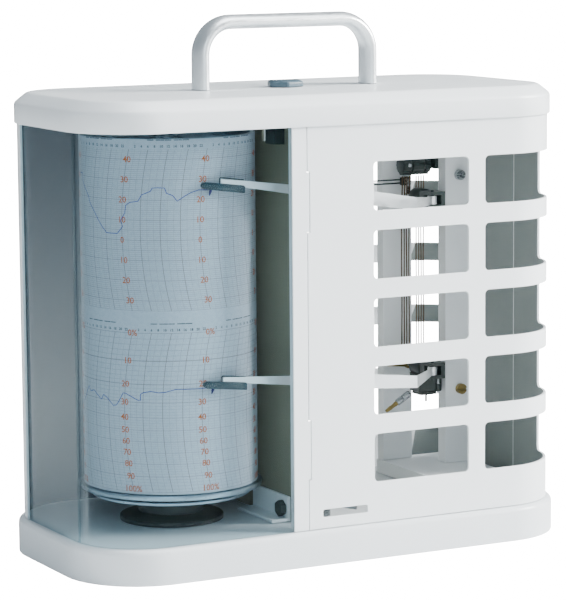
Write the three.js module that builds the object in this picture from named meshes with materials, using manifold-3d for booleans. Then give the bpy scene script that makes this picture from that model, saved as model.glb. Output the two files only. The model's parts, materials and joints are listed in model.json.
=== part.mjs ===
// Recording thermohygrograph: a chart drum under a hood, with a hair sensor and a bimetal sensor.
// Millimetres. +X runs along the long front towards the louvres, +Y to the back, +Z up.
// The origin is the centre of the footprint, on the surface that the feet stand on.
import * as THREE from 'three';
import { mergeVertices } from 'three/addons/utils/BufferGeometryUtils.js';
import Module from 'manifold-3d';

const wasm = await Module();
wasm.setup();

// ---------------------------------------------------------------- driving dimensions

const GAP = 0.3; // clearance between pieces that touch on the real instrument

// Footprints: width along X, depth along Y, corner radius.
const BASE = { width: 291.5, depth: 142, corner: 42.7 };
const HOOD = { width: 283.7, depth: 134.9, corner: 37.4 };
const LID = { width: 286.4, depth: 138.4, corner: 39.2 };

// Levels.
const BASE_BOTTOM = 0.3;
const BASE_TOP = 19.2;
const BASE_SHOULDER = 3;
const BASE_WALL = 4;
const BASE_SKIN = 2.5;
const FLOOR = BASE_TOP + GAP;
const LID_BOTTOM = 233;
const LID_TOP = 249.5;
const LID_CHAMFER = { in: 7, down: 5.6 };
const LID_ROOF = 2.2;
const SHELL_TOP = 243;
const HANDLE_TOP = 289.4;

// Sheet thicknesses.
const PANEL = 1.6;
const WINDOW = 2;

// Feet.
const FOOT_X = 118;
const FOOT_Y = 38;
const FOOT_RADIUS = 8;
const FOOT_HEIGHT = 1.7;
const BOSS_WALL = 2;

// Hood panels.
const POST_LEFT = -32;
const POST_RIGHT = -23;
const POST_TAB = 1.2;
const TAB_LEVELS = [[46.8, 78], [178, 209.3]];
const END_SEAM_Y = -9;
const WINDOW_END_Y = 34;

// Louvre openings: five rows in two columns, the right column wraps round the corner.
const LOUVRE_ROWS = 5;
const LOUVRE_FIRST = 41.5;
const LOUVRE_PITCH = 36.4;
const LOUVRE_HEIGHT = 25.9;
const LOUVRE_FILLET = 2.5;
const LOUVRE_LEFT = { from: 16.8, to: 75.2 };
const LOUVRE_RIGHT_FROM = 85.6;
const LOUVRE_END_Y = 34.6;

// Slot of the pen lift lever.
const SLOT = { from: -14.6, to: 12.2, bottom: 25.6, top: 29.7 };

// Handle and knob.
const HANDLE_LEG_X = 51;
const HANDLE_HALF_HEIGHT = 4;
const HANDLE_HALF_WIDTH = 7.6;
const HANDLE_BEND = 17.5;
const KNOB_RADIUS = 10.6;
const KNOB_TURN = 18.6 * Math.PI / 180;
const KNOB_TOP = 253.2;
const KNOB_CHAMFER = 1.2;
const STUD_RADIUS = 2;
const STUD_BOTTOM = 226;

// Post inside the hood that takes the stud.
const HOOD_POST = { radius: 4, top: 236, foot: 9, footTop: 24, threadBottom: 222 };

// Drum.
const DRUM_X = -71.5;
const DRUM_RADIUS = 46;
const DRUM_WALL = 1.5;
const DRUM_BOTTOM = 41.3;
const DRUM_ROOF = 222;
const DRUM_TOP = 228.2;
const PAPER_INNER = 46.55;
const PAPER_OUTER = 46.9;
const PAPER_BOTTOM = 41.2;
const PAPER_TOP = 227.9;
const CLIP_ANGLE = 0.9;
const CLIP_WIDTH = 6;
const CLIP_SHEET = 0.35;
const RIM_RADIUS = 49;
const RIM_BOTTOM = 38;
const RIM_THICK = 2.7;
const RIM_BORE = 8;
const CLOCK = { bore: 6, radius: 34, bottom: 52, top: 84 };
const NUT = { radius: 7, flange: 9, flangeTop: 225, bottom: 223.8, top: 229 };
const SPINDLE_RADIUS = 3;
const SPINDLE = { bottom: 36.3, top: 225 };
const PEDESTAL = { foot: 28, footRise: 2.5, neck: 18, neckRise: 4.8, neckTop: 32, plate: 43, plateFrom: 34.2, top: 36 };
const GEAR_BOTTOM = 43;
const GEAR_TOP = 48;
const GEAR_MODULE = 1.2;
const SUN_TEETH = 30;
const PINION_TEETH = 12;

// Pen arms. Both turn about axes along Y at PIVOT_X, and their front strips rise towards the pens.
const PIVOT_X = 100.5;
const SHAFT_RADIUS = 1.2;
const ARM_Y = -50;
const ARM_SHEET = 0.6;
const ARM_BEND_X = 53;
const ARM_WIDE_X = 26;
const ARM_NECK_X = -50.4;
const ARM_TIP_X = -64.4;
const PEN_FROM = -76;
const PEN_TO = -51.2;
const PEN_HALF = 1.9;
const TEMPERATURE_Z = 181.5;
const TEMPERATURE_ARM = { bendZ: 187.4, slope: 0.153, penZ: 200.5, penSlope: 0.138 };
const HUMIDITY_Z = 84;
const HUMIDITY_ARM = { bendZ: 90.2, slope: 0.094, penZ: 96.7, penSlope: 0.113 };
const GATE = { x: 98.5, y: 10.5 };

// Divider between the drum and the sensors, and the angle at its foot.
const DIVIDER = { left: -21.2, right: -20, front: -44, rear: 60, top: 231, sheet: 1.2 };
const ANGLE = { leg: 1.6, reach: 11, from: -43, to: -2, rise: 33 };

// Mechanism frame.
const REAR_UPRIGHT = { from: [86.3, 45.5], to: [105.3, 52] };
const FRONT_UPRIGHT = { from: [113, 20.2], to: [131.3, 28.3] };
const FOOT_BLOCK_TOP = 27.2;
const UPRIGHT_TOP = 215.7;
const TOP_PLATE = 3;
const MECHANISM_FOOT = { x: [85.4, 131.3], y: [-14, 52] };
const SCREW_HEAD = 3;
const UPPER_SCREW = { x: 121.5, z: 193.9, radius: 2.9, socket: 1.3 };
const LOWER_SCREW = { x: 122.4, z: 70.4, radius: 3, slot: 0.5 };

// Bearing blocks of the two arms, with their lock nut, stud bracket and adjusting screw.
const BLOCK = { x: [96, 107], y: [21, 32], boss: 5.2, under: 3.5 };
const BRACKET = { x: [106.5, 112.7], y: [24, 28.3] };
const TEMPERATURE_BLOCK_Z = 172;
const HUMIDITY_BLOCK_Z = 70;
const ADJUSTER = { x: [91.2, 95.7], y: 26.5, radius: 2.6, slot: 0.8, depth: 1 };
const STOP = { x: [97, 107.5], y: [21, 31], z: [68.2, 69.7], pinX: 102.8, pinY: 25, pinZ: [63.8, 68.4] };
const DAMPER = { top: [92.5, 26, 69.2], sleeveEnd: [84, 26, 64.2], rodTop: [86, 26, 65.4], end: [77, 26, 60] };

// Bimetal sensor and the beam it hangs from.
const BIMETAL = { x: 30, z: 197, inner: 13, outer: 14, y: [20, 38], from: Math.PI * 0.45, to: Math.PI * 1.84 };
const BEAM = { x: [22, 86], y: [45.5, 51], bottom: 213.5 };
const HANGER = { x: [25, 35], y: [22, 46], bottom: 211.3 };

// Hair sensor.
const HAIR_Y = 36;
const HAIR_X = [95.7, 105.3];
const HAIR_PITCH = 1.6;
const HAIR_SIZE = 0.5;
const HAIRS = 4;
const HAIR_BOTTOM = 92.3;
const HAIR_TOP = 193.2;

// Pen lift crank.
const LIFT = { x: -1, y: -46, offset: 6.5, top: 206 };

// ---------------------------------------------------------------- solids

function solid(geometry) {
  const bare = geometry.index ? geometry.clone() : geometry;
  bare.deleteAttribute('normal');
  bare.deleteAttribute('uv');
  const merged = mergeVertices(bare, 1e-4);
  return new wasm.Manifold(new wasm.Mesh({
    numProp: 3,
    vertProperties: new Float32Array(merged.attributes.position.array),
    triVerts: new Uint32Array(merged.index.array),
  }));
}

function geometryOf(body) {
  const mesh = body.getMesh();
  const geometry = new THREE.BufferGeometry();
  geometry.setAttribute('position', new THREE.BufferAttribute(new Float32Array(mesh.vertProperties), 3));
  geometry.setIndex(new THREE.BufferAttribute(new Uint32Array(mesh.triVerts), 1));
  geometry.computeVertexNormals();
  return geometry;
}

function join(first, ...others) {
  return others.reduce((body, other) => body.add(other), first);
}

function cut(first, ...others) {
  return others.reduce((body, other) => body.subtract(other), first);
}

function box(x, y, z) {
  const geometry = new THREE.BoxGeometry(x[1] - x[0], y[1] - y[0], z[1] - z[0]);
  geometry.translate((x[0] + x[1]) / 2, (y[0] + y[1]) / 2, (z[0] + z[1]) / 2);
  return solid(geometry);
}

// A rod of round or hexagonal section between two levels on the Z axis through x, y.
function rodZ(x, y, z, radius, sides = 16, turn = 0) {
  const geometry = new THREE.CylinderGeometry(radius, radius, z[1] - z[0], sides);
  geometry.rotateX(Math.PI / 2);
  geometry.rotateZ(turn);
  geometry.translate(x, y, (z[0] + z[1]) / 2);
  return solid(geometry);
}

function rodY(x, y, z, radius, sides = 16) {
  const geometry = new THREE.CylinderGeometry(radius, radius, y[1] - y[0], sides);
  geometry.translate(x, (y[0] + y[1]) / 2, z);
  return solid(geometry);
}

function rodX(x, y, z, radius, sides = 16) {
  const geometry = new THREE.CylinderGeometry(radius, radius, x[1] - x[0], sides);
  geometry.rotateZ(Math.PI / 2);
  geometry.translate((x[0] + x[1]) / 2, y, z);
  return solid(geometry);
}

// A straight rod from one point to another.
function rodBetween(start, end, radius, sides = 10) {
  const from = new THREE.Vector3(...start);
  const along = new THREE.Vector3(...end).sub(from);
  const geometry = new THREE.CylinderGeometry(radius, radius, along.length(), sides);
  const up = new THREE.Vector3(0, 1, 0);
  geometry.applyQuaternion(new THREE.Quaternion().setFromUnitVectors(up, along.clone().normalize()));
  geometry.translate(...from.addScaledVector(along, 0.5));
  return solid(geometry);
}

// A closed profile of [radius, level] points turned about the Z axis through x, y.
function turned(profile, x, y, sides = 32) {
  const points = profile.map(([radius, level]) => new THREE.Vector2(radius, level));
  const geometry = new THREE.LatheGeometry(points, sides);
  geometry.rotateX(Math.PI / 2);
  geometry.translate(x, y, 0);
  return solid(geometry);
}

function ring(x, y, z, inner, outer, sides) {
  return turned([[inner, z[0]], [outer, z[0]], [outer, z[1]], [inner, z[1]], [inner, z[0]]], x, y, sides);
}

function roundedShape(width, height, radius, centre = [0, 0]) {
  const [x, y] = centre;
  const right = width / 2 - radius;
  const top = height / 2 - radius;
  const shape = new THREE.Shape();
  shape.absarc(x + right, y - top, radius, -Math.PI / 2, 0);
  shape.absarc(x + right, y + top, radius, 0, Math.PI / 2);
  shape.absarc(x - right, y + top, radius, Math.PI / 2, Math.PI);
  shape.absarc(x - right, y - top, radius, Math.PI, Math.PI * 1.5);
  shape.closePath();
  return shape;
}

function outlineBlock(outline, inset, z, segments = 8) {
  const shape = roundedShape(outline.width - 2 * inset, outline.depth - 2 * inset, outline.corner - inset);
  const geometry = new THREE.ExtrudeGeometry(shape, {
    depth: z[1] - z[0],
    bevelEnabled: false,
    curveSegments: segments,
  });
  geometry.translate(0, 0, z[0]);
  return solid(geometry);
}

// A block with its upper edge bevelled: bevel.in sideways, bevel.down in height, round when steps > 1.
function bevelledBlock(outline, z, bevel, steps) {
  const inner = roundedShape(
    outline.width - 2 * bevel.in,
    outline.depth - 2 * bevel.in,
    outline.corner - bevel.in,
  );
  const geometry = new THREE.ExtrudeGeometry(inner, {
    depth: z[1] - z[0],
    bevelEnabled: true,
    bevelSize: bevel.in,
    bevelThickness: bevel.down,
    bevelSegments: steps,
    curveSegments: 8,
  });
  geometry.translate(0, 0, z[0] - bevel.down);
  const lower = box([-outline.width, outline.width], [-outline.depth, outline.depth], [z[0] - 40, z[0]]);
  return cut(solid(geometry), lower);
}

// A rounded rectangle in the XZ plane, extruded along Y.
function windowBlock(x, z, y, radius) {
  const centre = [(x[0] + x[1]) / 2, (z[0] + z[1]) / 2];
  const shape = roundedShape(x[1] - x[0], z[1] - z[0], radius, centre);
  const geometry = new THREE.ExtrudeGeometry(shape, {
    depth: y[1] - y[0],
    bevelEnabled: false,
    curveSegments: 3,
  });
  geometry.rotateX(Math.PI / 2);
  geometry.translate(0, y[1], 0);
  return solid(geometry);
}

// A polygon of [x, z] points, extruded along Y.
function plateY(points, y) {
  const shape = new THREE.Shape(points.map(([x, z]) => new THREE.Vector2(x, z)));
  const geometry = new THREE.ExtrudeGeometry(shape, { depth: y[1] - y[0], bevelEnabled: false });
  geometry.rotateX(Math.PI / 2);
  geometry.translate(0, y[1], 0);
  return solid(geometry);
}

// ---------------------------------------------------------------- scene graph

const instrument = new THREE.Group();

const paints = {
  body: [0xdde4e8, 0.42, 0.05],
  frame: [0xaab4b6, 0.4, 0.3],
  aluminium: [0xc3cdd3, 0.3, 0.9],
  steel: [0x9aa3a8, 0.28, 1],
  brass: [0xa8935a, 0.35, 1],
  dark: [0x20312f, 0.5, 0.2],
  knob: [0x7f949c, 0.45, 0.05],
  rubber: [0x1c1c1e, 0.85, 0],
  paper: [0xa4b4bc, 0.85, 0],
  hair: [0x7b6a4c, 0.7, 0],
  window: [0xc8d6dc, 0.05, 0],
};

function place(name, body, paint) {
  const [color, roughness, metalness] = paints[paint];
  const clear = paint === 'window';
  const material = new THREE.MeshStandardMaterial({
    color,
    roughness,
    metalness,
    transparent: clear,
    opacity: clear ? 0.3 : 1,
  });
  const mesh = new THREE.Mesh(geometryOf(body), material);
  mesh.name = name;
  instrument.add(mesh);
}

// ---------------------------------------------------------------- base

function makeBase() {
  const outer = bevelledBlock(BASE, [BASE_BOTTOM, BASE_TOP], { in: BASE_SHOULDER, down: BASE_SHOULDER }, 3);
  const bosses = [];
  for (const x of [-FOOT_X, FOOT_X]) {
    for (const y of [-FOOT_Y, FOOT_Y]) {
      bosses.push(rodZ(x, y, [FOOT_HEIGHT + GAP, BASE_TOP - 1], FOOT_RADIUS + BOSS_WALL));
    }
  }
  const hollow = cut(outlineBlock(BASE, BASE_WALL, [0, BASE_TOP - BASE_SKIN]), ...bosses);
  place('base_tray', cut(outer, hollow), 'body');
  const sides = { front: -1, rear: 1 };
  const ends = { left: -1, right: 1 };
  for (const [side, sy] of Object.entries(sides)) {
    for (const [end, sx] of Object.entries(ends)) {
      place(`foot_${side}_${end}`, rodZ(sx * FOOT_X, sy * FOOT_Y, [0, FOOT_HEIGHT], FOOT_RADIUS), 'rubber');
    }
  }
}

// ---------------------------------------------------------------- hood

// The wall of the hood between two boxes of space, as a closed sheet.
function hoodWall(thickness, x, y) {
  const tube = cut(
    outlineBlock(HOOD, 0, [FLOOR, SHELL_TOP]),
    outlineBlock(HOOD, thickness, [0, SHELL_TOP + 10]),
  );
  return tube.intersect(box(x, y, [0, SHELL_TOP + 10]));
}

function louvreRows(side) {
  const outer = side * 80;
  const inner = side * 55;
  const corner = side * LOUVRE_END_Y;
  const rows = [];
  for (let row = 0; row < LOUVRE_ROWS; row += 1) {
    const bottom = LOUVRE_FIRST + row * LOUVRE_PITCH;
    const z = [bottom, bottom + LOUVRE_HEIGHT];
    const flat = [Math.min(outer, inner), Math.max(outer, inner)];
    const wrapped = [Math.min(outer, corner), Math.max(outer, corner)];
    rows.push(windowBlock([LOUVRE_LEFT.from, LOUVRE_LEFT.to], z, flat, LOUVRE_FILLET));
    rows.push(windowBlock([LOUVRE_RIGHT_FROM, HOOD.width], z, wrapped, LOUVRE_FILLET));
  }
  return rows;
}

function tabBoxes(grow) {
  const front = -HOOD.depth / 2;
  return TAB_LEVELS.map(([low, high]) => box(
    [POST_RIGHT - 4, POST_RIGHT + POST_TAB + grow],
    [front - 1, front + PANEL + 1],
    [low - grow, high + grow],
  ));
}

function makeLouvres() {
  const far = HOOD.width;
  const slot = windowBlock([SLOT.from, SLOT.to], [SLOT.bottom, SLOT.top], [-80, -55], 0.8);
  const front = hoodWall(PANEL, [POST_RIGHT + GAP / 2, far], [-far, END_SEAM_Y - GAP / 2]);
  const rear = hoodWall(PANEL, [POST_RIGHT + GAP / 2, far], [END_SEAM_Y + GAP / 2, far]);
  place('louvre_front', cut(front, slot, ...louvreRows(-1), ...tabBoxes(GAP)), 'body');
  place('louvre_rear', cut(rear, ...louvreRows(1)), 'body');
}

function makeFrontPost() {
  const strip = hoodWall(PANEL, [POST_LEFT + GAP / 2, POST_RIGHT - GAP / 2], [-HOOD.width, 0]);
  const tabs = tabBoxes(0).map((tab) => tab.intersect(hoodWall(PANEL, [-60, 0], [-HOOD.width, 0])));
  const inside = -HOOD.depth / 2 + PANEL;
  const rib = box([POST_LEFT + 2, POST_LEFT + 3.5], [inside - 0.2, inside + 6], [FLOOR + 1, SHELL_TOP - 1]);
  place('front_post', join(strip, ...tabs, rib), 'body');
}

function makeWindows() {
  const far = HOOD.width;
  const edge = WINDOW_END_Y;
  const leftOfPost = [-far, POST_LEFT - GAP / 2];
  place('window_front', hoodWall(WINDOW, leftOfPost, [-far, -edge - GAP / 2]), 'window');
  place('window_end', hoodWall(WINDOW, [-far, 0], [-edge + GAP / 2, edge - GAP / 2]), 'window');
  place('rear_wall', hoodWall(PANEL, [-far, POST_RIGHT - GAP / 2], [edge + GAP / 2, far]), 'body');
}

function makeLid() {
  const outer = bevelledBlock(LID, [LID_BOTTOM, LID_TOP], LID_CHAMFER, 1);
  const cavityInset = (LID.width - HOOD.width) / 2 - GAP;
  const cavity = outlineBlock(LID, cavityInset, [0, LID_TOP - LID_CHAMFER.down]);
  const roofCavity = outlineBlock(LID, LID_CHAMFER.in + 2, [0, LID_TOP - LID_ROOF]);
  const hole = rodZ(0, 0, [0, LID_TOP + 10], STUD_RADIUS + 0.6);
  place('hood_lid', cut(outer, cavity, roofCavity, hole), 'body');
}

function makeHandle() {
  const foot = LID_TOP + GAP;
  const top = HANDLE_TOP - HANDLE_HALF_HEIGHT;
  const bend = HANDLE_BEND;
  const path = new THREE.CurvePath();
  const point = (x, z) => new THREE.Vector3(x, 0, z);
  const corner = (side) => {
    const knee = point(side * HANDLE_LEG_X, top);
    const low = point(side * HANDLE_LEG_X, top - bend);
    const high = point(side * (HANDLE_LEG_X - bend), top);
    const arc = 0.552;
    const lowKnee = low.clone().lerp(knee, arc);
    const highKnee = high.clone().lerp(knee, arc);
    return side < 0
      ? new THREE.CubicBezierCurve3(low, lowKnee, highKnee, high)
      : new THREE.CubicBezierCurve3(high, highKnee, lowKnee, low);
  };
  path.add(new THREE.LineCurve3(point(-HANDLE_LEG_X, foot), point(-HANDLE_LEG_X, top - bend)));
  path.add(corner(-1));
  path.add(new THREE.LineCurve3(point(bend - HANDLE_LEG_X, top), point(HANDLE_LEG_X - bend, top)));
  path.add(corner(1));
  path.add(new THREE.LineCurve3(point(HANDLE_LEG_X, top - bend), point(HANDLE_LEG_X, foot)));
  const section = new THREE.Shape();
  section.absellipse(0, 0, HANDLE_HALF_WIDTH, HANDLE_HALF_HEIGHT, 0, Math.PI * 2);
  const geometry = new THREE.ExtrudeGeometry(section, { steps: 32, extrudePath: path, curveSegments: 14 });
  place('carrying_handle', solid(geometry), 'aluminium');
}

function makeKnob() {
  const bottom = LID_TOP + GAP;
  const cap = new THREE.CylinderGeometry(KNOB_RADIUS, KNOB_RADIUS, KNOB_TOP - bottom - KNOB_CHAMFER, 6);
  const crown = new THREE.CylinderGeometry(KNOB_RADIUS - KNOB_CHAMFER, KNOB_RADIUS, KNOB_CHAMFER, 6);
  cap.rotateX(Math.PI / 2);
  cap.rotateZ(KNOB_TURN);
  cap.translate(0, 0, (bottom + KNOB_TOP - KNOB_CHAMFER) / 2);
  crown.rotateX(Math.PI / 2);
  crown.rotateZ(KNOB_TURN);
  crown.translate(0, 0, KNOB_TOP - KNOB_CHAMFER / 2);
  place('hood_knob', join(solid(cap), solid(crown), rodZ(0, 0, [STUD_BOTTOM, bottom + 1], STUD_RADIUS)), 'knob');
}

function makeHoodPost() {
  const stem = rodZ(0, 0, [FLOOR, HOOD_POST.top], HOOD_POST.radius);
  const flange = rodZ(0, 0, [FLOOR, HOOD_POST.footTop], HOOD_POST.foot);
  const thread = rodZ(0, 0, [HOOD_POST.threadBottom, HOOD_POST.top + 1], STUD_RADIUS + 0.5);
  place('hood_post', cut(join(stem, flange), thread), 'steel');
}

// ---------------------------------------------------------------- drum

function gearBlock(x, y, z, teeth, turn) {
  const pitchRadius = GEAR_MODULE * teeth / 2;
  const step = Math.PI * 2 / teeth;
  const flank = [
    [pitchRadius - 1.2 * GEAR_MODULE, -0.27],
    [pitchRadius, -0.225],
    [pitchRadius + 0.85 * GEAR_MODULE, -0.11],
    [pitchRadius + 0.85 * GEAR_MODULE, 0.11],
    [pitchRadius, 0.225],
    [pitchRadius - 1.2 * GEAR_MODULE, 0.27],
  ];
  const points = [];
  for (let tooth = 0; tooth < teeth; tooth += 1) {
    for (const [radius, offset] of flank) {
      const angle = (tooth + offset) * step + turn;
      points.push(new THREE.Vector2(x + radius * Math.cos(angle), y + radius * Math.sin(angle)));
    }
  }
  const geometry = new THREE.ExtrudeGeometry(new THREE.Shape(points), {
    depth: z[1] - z[0],
    bevelEnabled: false,
  });
  geometry.translate(0, 0, z[0]);
  return solid(geometry);
}

function makeDrum() {
  const x = DRUM_X;
  const bore = SPINDLE_RADIUS + 0.5;
  const inner = DRUM_RADIUS - DRUM_WALL;
  place('drum_shell', turned([
    [inner, DRUM_BOTTOM],
    [DRUM_RADIUS, DRUM_BOTTOM],
    [DRUM_RADIUS, DRUM_TOP],
    [inner, DRUM_TOP],
    [inner, DRUM_ROOF + DRUM_WALL],
    [bore, DRUM_ROOF + DRUM_WALL],
    [bore, DRUM_ROOF],
    [inner, DRUM_ROOF],
    [inner, DRUM_BOTTOM],
  ], x, 0, 48), 'aluminium');
  place('drum_rim', ring(x, 0, [RIM_BOTTOM, RIM_BOTTOM + RIM_THICK], RIM_BORE, RIM_RADIUS, 48), 'aluminium');
  place('chart_paper', ring(x, 0, [PAPER_BOTTOM, PAPER_TOP], PAPER_INNER, PAPER_OUTER, 48), 'paper');
  const clip = new THREE.BoxGeometry(CLIP_SHEET, CLIP_WIDTH, PAPER_TOP - PAPER_BOTTOM - 1);
  clip.translate(PAPER_OUTER + GAP / 2 + CLIP_SHEET / 2, 0, (PAPER_TOP + PAPER_BOTTOM - 1) / 2);
  clip.rotateZ(CLIP_ANGLE);
  clip.translate(x, 0, 0);
  place('chart_clip', solid(clip), 'steel');
  place('clock_movement', ring(x, 0, [CLOCK.bottom, CLOCK.top], CLOCK.bore, CLOCK.radius, 32), 'brass');
  const nut = join(
    rodZ(x, 0, [NUT.bottom, NUT.top], NUT.radius, 20),
    rodZ(x, 0, [NUT.bottom, NUT.flangeTop], NUT.flange, 20),
  );
  place('drum_nut', cut(nut, rodZ(x, 0, [DRUM_ROOF, SPINDLE.top + 1.5], bore)), 'steel');
}

function makeDrumDrive() {
  const x = DRUM_X;
  const gearZ = [GEAR_BOTTOM, GEAR_TOP];
  const distance = GEAR_MODULE * (SUN_TEETH + PINION_TEETH) / 2;
  const pinionStem = 3.5;
  place('drum_spindle', rodZ(x, 0, [SPINDLE.bottom, SPINDLE.top], SPINDLE_RADIUS, 16), 'steel');
  const sun = gearBlock(x, 0, gearZ, SUN_TEETH, Math.PI / SUN_TEETH);
  place('sun_gear', cut(sun, rodZ(x, 0, [GEAR_BOTTOM - 1, GEAR_TOP + 1], SPINDLE_RADIUS + GAP)), 'brass');
  const pinion = gearBlock(x + distance, 0, gearZ, PINION_TEETH, 0);
  const stem = rodZ(x + distance, 0, [GEAR_BOTTOM, GEAR_TOP + pinionStem], 2);
  place('drive_pinion', join(pinion, stem), 'brass');
  place('drum_pedestal', turned([
    [0, FLOOR],
    [PEDESTAL.foot, FLOOR],
    [PEDESTAL.foot, FLOOR + PEDESTAL.footRise],
    [PEDESTAL.neck, FLOOR + PEDESTAL.neckRise],
    [PEDESTAL.neck, PEDESTAL.neckTop],
    [PEDESTAL.plate, PEDESTAL.plateFrom],
    [PEDESTAL.plate, PEDESTAL.top],
    [0, PEDESTAL.top],
  ], x, 0, 40), 'dark');
}

// ---------------------------------------------------------------- divider

// An upright sheet with a folded front edge and a foot, a dark guide at its top and a pale angle along it.
function makeDivider() {
  const { left, right, front, rear, top, sheet } = DIVIDER;
  const plate = join(
    box([left, right], [front, rear], [FLOOR, top]),
    box([left, right + 5], [front, front + sheet], [FLOOR, top]),
    box([left, right + 10], [front, rear], [FLOOR, FLOOR + sheet]),
  );
  const notch = box([left - 1, right + 1], [-28, -13], [top - 9, top + 1]);
  place('divider_plate', cut(plate, notch), 'frame');
  place('divider_guide', box([-27, left - GAP], [-39.5, -28.2], [top - 9, top]), 'dark');
  const { leg, reach, from, to, rise } = ANGLE;
  const angle = join(
    box([left - GAP - leg, left - GAP], [from, to], [FLOOR + GAP, rise]),
    box([left - GAP - reach, left - GAP], [from, to], [FLOOR + GAP, FLOOR + GAP + leg]),
  );
  place('divider_angle', angle, 'body');
  const nutTo = left - 2 * GAP - leg;
  place('divider_nut', rodX([nutTo - 3, nutTo], -38, 26.4, 4.4, 6), 'dark');
}

// ---------------------------------------------------------------- mechanism frame

function makeFrame() {
  const [rearFrom, rearTo] = [REAR_UPRIGHT.from, REAR_UPRIGHT.to];
  const [frontFrom, frontTo] = [FRONT_UPRIGHT.from, FRONT_UPRIGHT.to];
  const standing = [FOOT_BLOCK_TOP + GAP, UPRIGHT_TOP];
  place('mechanism_foot', box(MECHANISM_FOOT.x, MECHANISM_FOOT.y, [FLOOR, FOOT_BLOCK_TOP]), 'frame');
  place('rear_upright', box([rearFrom[0], rearTo[0]], [rearFrom[1], rearTo[1]], standing), 'frame');
  place('front_upright', box([frontFrom[0], frontTo[0]], [frontFrom[1], frontTo[1]], standing), 'frame');
  const plateZ = [UPRIGHT_TOP + GAP, UPRIGHT_TOP + GAP + TOP_PLATE];
  place('mechanism_top_plate', box([rearFrom[0], frontTo[0]], [frontFrom[1], rearTo[1]], plateZ), 'frame');
  const face = frontFrom[1] - GAP;
  const head = [face - SCREW_HEAD, face];
  const upper = UPPER_SCREW;
  const socket = rodY(upper.x, [head[0] - 1, head[1] - 1], upper.z, upper.socket, 6);
  place('frame_screw_upper', cut(rodY(upper.x, head, upper.z, upper.radius), socket), 'steel');
  const lower = LOWER_SCREW;
  const slotX = [lower.x - lower.radius - 1, lower.x + lower.radius + 1];
  const slotZ = [lower.z - lower.slot, lower.z + lower.slot];
  const slot = box(slotX, [head[0] - 1, head[0] + 1], slotZ);
  place('frame_screw_lower', cut(rodY(lower.x, head, lower.z, lower.radius), slot), 'brass');
}

function makeBearingBlock(name, axisZ, low) {
  const body = join(
    box(BLOCK.x, BLOCK.y, [low, axisZ - BLOCK.under]),
    rodY(PIVOT_X, BLOCK.y, axisZ, BLOCK.boss, 20),
    box(BRACKET.x, BRACKET.y, [low + 1, axisZ - BLOCK.under - 0.5]),
  );
  place(name, cut(body, rodY(PIVOT_X, [BLOCK.y[0] - 1, BLOCK.y[1] + 1], axisZ, SHAFT_RADIUS + 0.4)), 'dark');
}

function makeAdjuster(name, z) {
  const { x, y, radius, slot, depth } = ADJUSTER;
  const groove = box([x[0] - 1, x[0] + depth], [y - radius - 1, y + radius + 1], [z - slot / 2, z + slot / 2]);
  place(name, cut(rodX(x, y, z, radius, 18), groove), 'steel');
}

function makeSupports() {
  makeBearingBlock('temperature_block', TEMPERATURE_Z, TEMPERATURE_BLOCK_Z);
  makeBearingBlock('humidity_block', HUMIDITY_Z, HUMIDITY_BLOCK_Z);
  makeAdjuster('temperature_adjuster', TEMPERATURE_BLOCK_Z + 3);
  makeAdjuster('humidity_adjuster', HUMIDITY_BLOCK_Z + 5);
  const stop = join(box(STOP.x, STOP.y, STOP.z), rodZ(STOP.pinX, STOP.pinY, STOP.pinZ, 0.7, 8));
  place('humidity_stop', stop, 'dark');
  const sleeve = rodBetween(DAMPER.top, DAMPER.sleeveEnd, 2);
  place('spring_rod', join(sleeve, rodBetween(DAMPER.rodTop, DAMPER.end, 1.3)), 'steel');
}

// ---------------------------------------------------------------- hair sensor

function makeHair() {
  const names = ['hair_bundle_left', 'hair_bundle_right'];
  HAIR_X.forEach((centre, index) => {
    const half = (HAIRS - 1) * HAIR_PITCH / 2;
    const ends = [
      box([centre - half - 0.4, centre + half + 0.4], [HAIR_Y - 0.8, HAIR_Y + 0.8], [HAIR_TOP - 3, HAIR_TOP]),
      box([centre - half - 0.4, centre + half + 0.4], [HAIR_Y - 0.8, HAIR_Y + 0.8], [HAIR_BOTTOM, HAIR_BOTTOM + 3]),
    ];
    const strands = [];
    for (let hair = 0; hair < HAIRS; hair += 1) {
      const x = centre - half + hair * HAIR_PITCH;
      strands.push(box(
        [x - HAIR_SIZE / 2, x + HAIR_SIZE / 2],
        [HAIR_Y - HAIR_SIZE / 2, HAIR_Y + HAIR_SIZE / 2],
        [HAIR_BOTTOM + 1, HAIR_TOP - 1],
      ));
    }
    place(names[index], join(...ends, ...strands), 'hair');
  });
  place('hair_clamp_upper', box([91.8, 111], [31, 41], [HAIR_TOP + GAP, 204.5]), 'dark');
  place('hair_clamp_arm', box([111.3, 120], [28.6, 40], [197, 203.5]), 'dark');
  const lower = join(
    box([92.2, 108.6], [34, 38], [HAIR_BOTTOM - GAP - 4, HAIR_BOTTOM - GAP]),
    box([95, 96.2], [35, 37], [84, HAIR_BOTTOM - 2]),
  );
  place('hair_clamp_lower', lower, 'brass');
}

// ---------------------------------------------------------------- bimetal sensor

function arcPoints(centre, radius, from, to, steps) {
  const points = [];
  for (let step = 0; step <= steps; step += 1) {
    const angle = from + (to - from) * step / steps;
    points.push([centre[0] + radius * Math.cos(angle), centre[1] + radius * Math.sin(angle)]);
  }
  return points;
}

function makeBimetal() {
  const centre = [BIMETAL.x, BIMETAL.z];
  const outer = arcPoints(centre, BIMETAL.outer, BIMETAL.from, BIMETAL.to, 18);
  const inner = arcPoints(centre, BIMETAL.inner, BIMETAL.to, BIMETAL.from, 18);
  place('bimetal_strip', plateY([...outer, ...inner], BIMETAL.y), 'brass');
  const beam = join(
    box(BEAM.x, BEAM.y, [BEAM.bottom, UPRIGHT_TOP]),
    box(HANGER.x, HANGER.y, [HANGER.bottom, UPRIGHT_TOP]),
  );
  place('sensor_beam', beam, 'frame');
}

// ---------------------------------------------------------------- pen arms

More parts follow.
